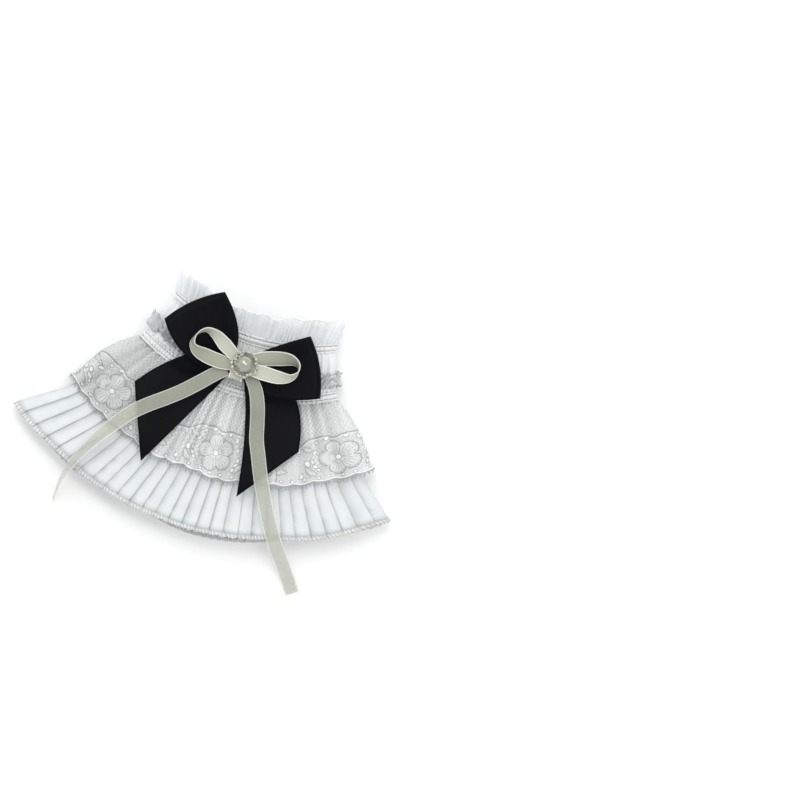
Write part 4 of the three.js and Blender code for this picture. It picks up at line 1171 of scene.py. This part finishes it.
def roundedPath(halfSpan, low, top, corner, steps):
    # a rounded rectangle in Y and Z, closed
    path = []
    for cy, cz, start in ((halfSpan - corner, top - corner, 0), (corner - halfSpan, top - corner, 90),
                          (corner - halfSpan, low + corner, 180), (halfSpan - corner, low + corner, 270)):
        for k in range(steps):
            turn = math.radians(start + 90 * k / (steps - 1))
            path.append((cy + corner * math.cos(turn), cz + corner * math.sin(turn)))
    return np.array(path)


def makeTie():
    path = roundedPath(tie["halfSpan"], tie["low"], tie["top"], tie["corner"], tie["cornerSteps"])
    outward = path - path.mean(axis=0)
    outward /= np.linalg.norm(outward, axis=1)[:, None]
    places = np.linspace(-1, 1, tie["columns"])
    folds = 0.22 * np.cos(fullTurn * 2.2 * places + 0.8) + 0.12 * np.cos(11 * places + 2)
    grid = np.zeros((len(path), len(places), 3))
    grid[:, :, 0] = knot["x"] + places * tie["width"] / 2
    grid[:, :, 1] = knot["y"] + path[:, :1] + outward[:, :1] * folds
    grid[:, :, 2] = path[:, 1:] + outward[:, 1:] * folds
    grid = np.vstack([grid, grid[:1]])
    run = runOf(grid[:, tie["columns"] // 2])
    weave = np.dstack(np.meshgrid(run * mm, (places + 1) / 2, indexing="ij"))
    piece = sheetOf("cream_bow_tie", grid, weave, creamFold, tie["wall"], closed=False)
    finishPiece(piece, "cream_satin", "cream_knot")


lump = {"half": 3.3, "level": 28.9, "height": 1.7, "rings": 12, "sides": 40, "squash": 0.8, "weave": 0.005}


def makeKnot():
    # a low rounded lump with a few folds round it
    rings, sides = lump["rings"], lump["sides"]
    turns = np.linspace(0, fullTurn, sides, endpoint=False)
    folds = 1 + 0.10 * np.cos(3 * turns + 1) + 0.05 * np.cos(7 * turns)
    heights = np.linspace(0, 1, rings)
    grid = np.zeros((rings, sides, 3))
    for j, h in enumerate(heights):
        size = max(0.0, math.cos(math.pi / 2 * h)) ** 0.6 if h < 1 else 0.0
        reach = lump["half"] * max(0.02, size) * folds
        grid[j, :, 0] = knot["x"] + reach * np.cos(turns)
        grid[j, :, 1] = knot["y"] + lump["squash"] * reach * np.sin(turns)
        grid[j, :, 2] = lump["level"] + lump["height"] * math.sin(math.pi / 2 * h)
    ends = [tuple(range(sides))[::-1], tuple((rings - 1) * sides + k for k in range(sides))]
    weave = np.dstack(np.meshgrid(lump["weave"] * heights, np.linspace(0, 1, sides), indexing="ij"))
    faces = facesOfGrid(rings, sides) + ends
    piece = newPiece("cream_bow_knot", grid.reshape(-1, 3), faces, [creamFold], weave.reshape(-1, 2))
    finishPiece(piece, "cream_satin")


makeTie()
makeKnot()
print("tie and knot made")

# pearl charm on the knot: the dish, the pearl in its middle, and seed pearls in two rings
charm = {"x": 5.67, "y": 23.57, "low": 29.9, "radius": 6.1, "pearl": 3.6, "pearlLow": 31.2, "pearlCut": 0.55,
         "wall": 0.35, "petals": 5, "ridges": 20, "petalTurn": 1.25, "bead": 0.85}
outerBeads = {"beads": 19, "from": 0, "step": 360 / 19, "reach": 5.25, "level": 32.2, "size": 0.85,
              "turnSpread": 0.15 * 360 / 19, "reachSpread": 0.35, "levelSpread": 0.2, "sizeSpread": 0.14}
innerBeads = {"beads": 9, "from": 60, "step": 18, "reach": 4.0, "level": 32.6, "size": 0.72,
              "turnSpread": 5, "reachSpread": 0.2, "levelSpread": 0.2, "sizeSpread": 0.06}
barePart = (0.7, 1.85)  # where the dish's high petal stands and no bead shows


def makePearl():
    radius = charm["pearl"] * mm
    below = charm["pearlCut"] * radius
    bpy.ops.object.select_all(action="DESELECT")
    bpy.ops.mesh.primitive_uv_sphere_add(segments=48, ring_count=28, radius=radius, location=(0, 0, 0))
    pearl = bpy.context.active_object
    pearl.name = "pearl_ball"
    bpy.ops.object.mode_set(mode="EDIT")
    bpy.ops.mesh.select_all(action="SELECT")
    bpy.ops.mesh.bisect(plane_co=(0, 0, -below), plane_no=(0, 0, 1), clear_inner=True, use_fill=True)
    bpy.ops.mesh.select_all(action="SELECT")
    bpy.ops.transform.translate(value=(charm["x"] * mm, charm["y"] * mm, charm["pearlLow"] * mm + below))
    bpy.ops.object.mode_set(mode="OBJECT")
    bpy.ops.object.shade_smooth_by_angle(angle=math.radians(50))
    pearl.data.materials.append(pearlSkin)
    finishPiece(pearl, "pearl", "charm_pearl")


def selectRim(piece):
    # the outermost edges of a disc, selected in code
    outer = max(math.hypot(*v.co.xy) for v in piece.data.vertices)
    for edge in piece.data.edges:
        ends = [piece.data.vertices[k].co for k in edge.vertices]
        edge.select = all(math.hypot(*co.xy) > outer * 0.99 for co in ends)
    for polygon in piece.data.polygons:
        polygon.select = False


def makeDish():
    # a disc drawn out in rings, its rim lifted and pulled into petals
    radius = 0.45 * charm["radius"] * mm
    bpy.ops.object.select_all(action="DESELECT")
    bpy.ops.mesh.primitive_circle_add(vertices=72, radius=radius, fill_type="NGON", location=(0, 0, 0))
    dish = bpy.context.active_object
    dish.name = "shell_dish"
    bpy.ops.object.mode_set(mode="EDIT")
    bpy.ops.mesh.select_all(action="SELECT")
    for grow, lift in ((1.3, 0.08), (1.28, 0.16), (1.18, 0.28), (1.12, 0.35)):
        bpy.ops.mesh.select_mode(type="EDGE")
        bpy.ops.object.mode_set(mode="OBJECT")
        selectRim(dish)
        bpy.ops.object.mode_set(mode="EDIT")
        bpy.ops.mesh.extrude_edges_move(TRANSFORM_OT_translate={"value": (0, 0, lift * mm)})
        bpy.ops.transform.resize(value=(grow, grow, 1))
    bpy.ops.object.mode_set(mode="OBJECT")
    for v in dish.data.vertices:
        x, y, z = v.co
        turn, out = math.atan2(y, x), math.hypot(x, y) / mm / charm["radius"]
        notch = 0.10 * out * (abs(math.cos(charm["petals"] * turn)) - 1)
        ridge = 0.18 * out * math.cos(charm["ridges"] * turn)
        petal = 1.5 * out ** 2 * max(0, math.cos(turn - charm["petalTurn"])) * (1 + 0.3 * math.sin(9 * turn))
        lift = charm["low"] + 0.25 + ridge + 0.4 * notch + petal
        v.co = ((1 + notch) * x + charm["x"] * mm, (1 + notch) * y + charm["y"] * mm, z + lift * mm)
    dish.data.polygons.foreach_set("use_smooth", [True] * len(dish.data.polygons))
    thicken(dish, charm["wall"])
    dish.data.materials.append(shell)
    finishPiece(dish, "pearl", "charm_base")


def makeSeedPearls():
    # one seed pearl is modelled, and its copies are strung round the rim
    radius = charm["bead"] * mm
    bpy.ops.object.select_all(action="DESELECT")
    bpy.ops.mesh.primitive_uv_sphere_add(segments=16, ring_count=10, radius=radius, location=(0, 0, 0))
    bead = bpy.context.active_object
    rng = np.random.default_rng(19)
    places = []
    for ring in (outerBeads, innerBeads):
        for k in range(ring["beads"]):
            draw = [rng.normal() for _ in range(4)]
            turn = math.radians(ring["from"] + ring["step"] * k + ring["turnSpread"] * draw[0])
            reach = ring["reach"] + ring["reachSpread"] * draw[1]
            level = ring["level"] + ring["levelSpread"] * draw[2]
            places.append((turn, reach, level, ring["size"] + ring["sizeSpread"] * draw[3]))
    copies = []
    for turn, reach, level, size in places:
        if barePart[0] < turn < barePart[1]:
            continue
        copy = bead.copy()
        copy.data = bead.data.copy()
        x, y = charm["x"] + reach * math.cos(turn), charm["y"] + reach * math.sin(turn)
        for v in copy.data.vertices:
            v.co = (v.co.x * size + x * mm, v.co.y * size + y * mm, v.co.z * size + level * mm)
        bpy.context.scene.collection.objects.link(copy)
        copies.append(copy)
    bpy.data.objects.remove(bead)
    bpy.ops.object.select_all(action="DESELECT")
    for copy in copies:
        copy.select_set(True)
    bpy.context.view_layer.objects.active = copies[0]
    bpy.ops.object.join()
    beads = bpy.context.active_object
    beads.name = "seed_pearls"
    bpy.ops.object.shade_smooth()
    beads.data.materials.append(seedPearl)
    finishPiece(beads, "pearl", "charm_beads")


makePearl()
makeDish()
makeSeedPearls()
print("charm made")

# plain pale floor and soft studio light; lamps have a place and size in metres and a power in watts
lamps = [("key", (-0.45, 0.75, 1.1), 0.8, 3.4), ("near_left", (-0.12, 0.42, 1.25), 0.32, 1.9),
         ("near_right", (0.42, 0.2, 1.2), 0.32, 1.9)]
bpy.ops.object.select_all(action="DESELECT")
bpy.ops.mesh.primitive_plane_add(size=6, location=(0, 0, -0.0002))
floor = bpy.context.active_object
floor.name = "floor"
paper = Finish("floor_paper")
paper.surface({"Base Color": (0.96, 0.96, 0.96, 1), "Roughness": 0.9, "Specular IOR Level": 0.1})
floor.data.materials.append(paper.material)

world = bpy.data.worlds.new("studio")
world.use_nodes = True
world.node_tree.nodes["Background"].inputs["Color"].default_value = (1, 1, 1, 1)
world.node_tree.nodes["Background"].inputs["Strength"].default_value = 0.90
bpy.context.scene.world = world
for name, (x, y, z), size, power in lamps:
    lamp = bpy.data.lights.new(name, "AREA")
    lamp.size = size
    lamp.energy = power
    lampObject = bpy.data.objects.new(name, lamp)
    lampObject.location = (x, y, z)
    # turned to face the cuff
    lampObject.rotation_euler = (math.atan2(math.hypot(x, y), z), 0, math.atan2(-x, y) + math.pi)
    bpy.context.scene.collection.objects.link(lampObject)
bpy.context.scene.view_settings.view_transform = "Standard"
print("stage and lights made")
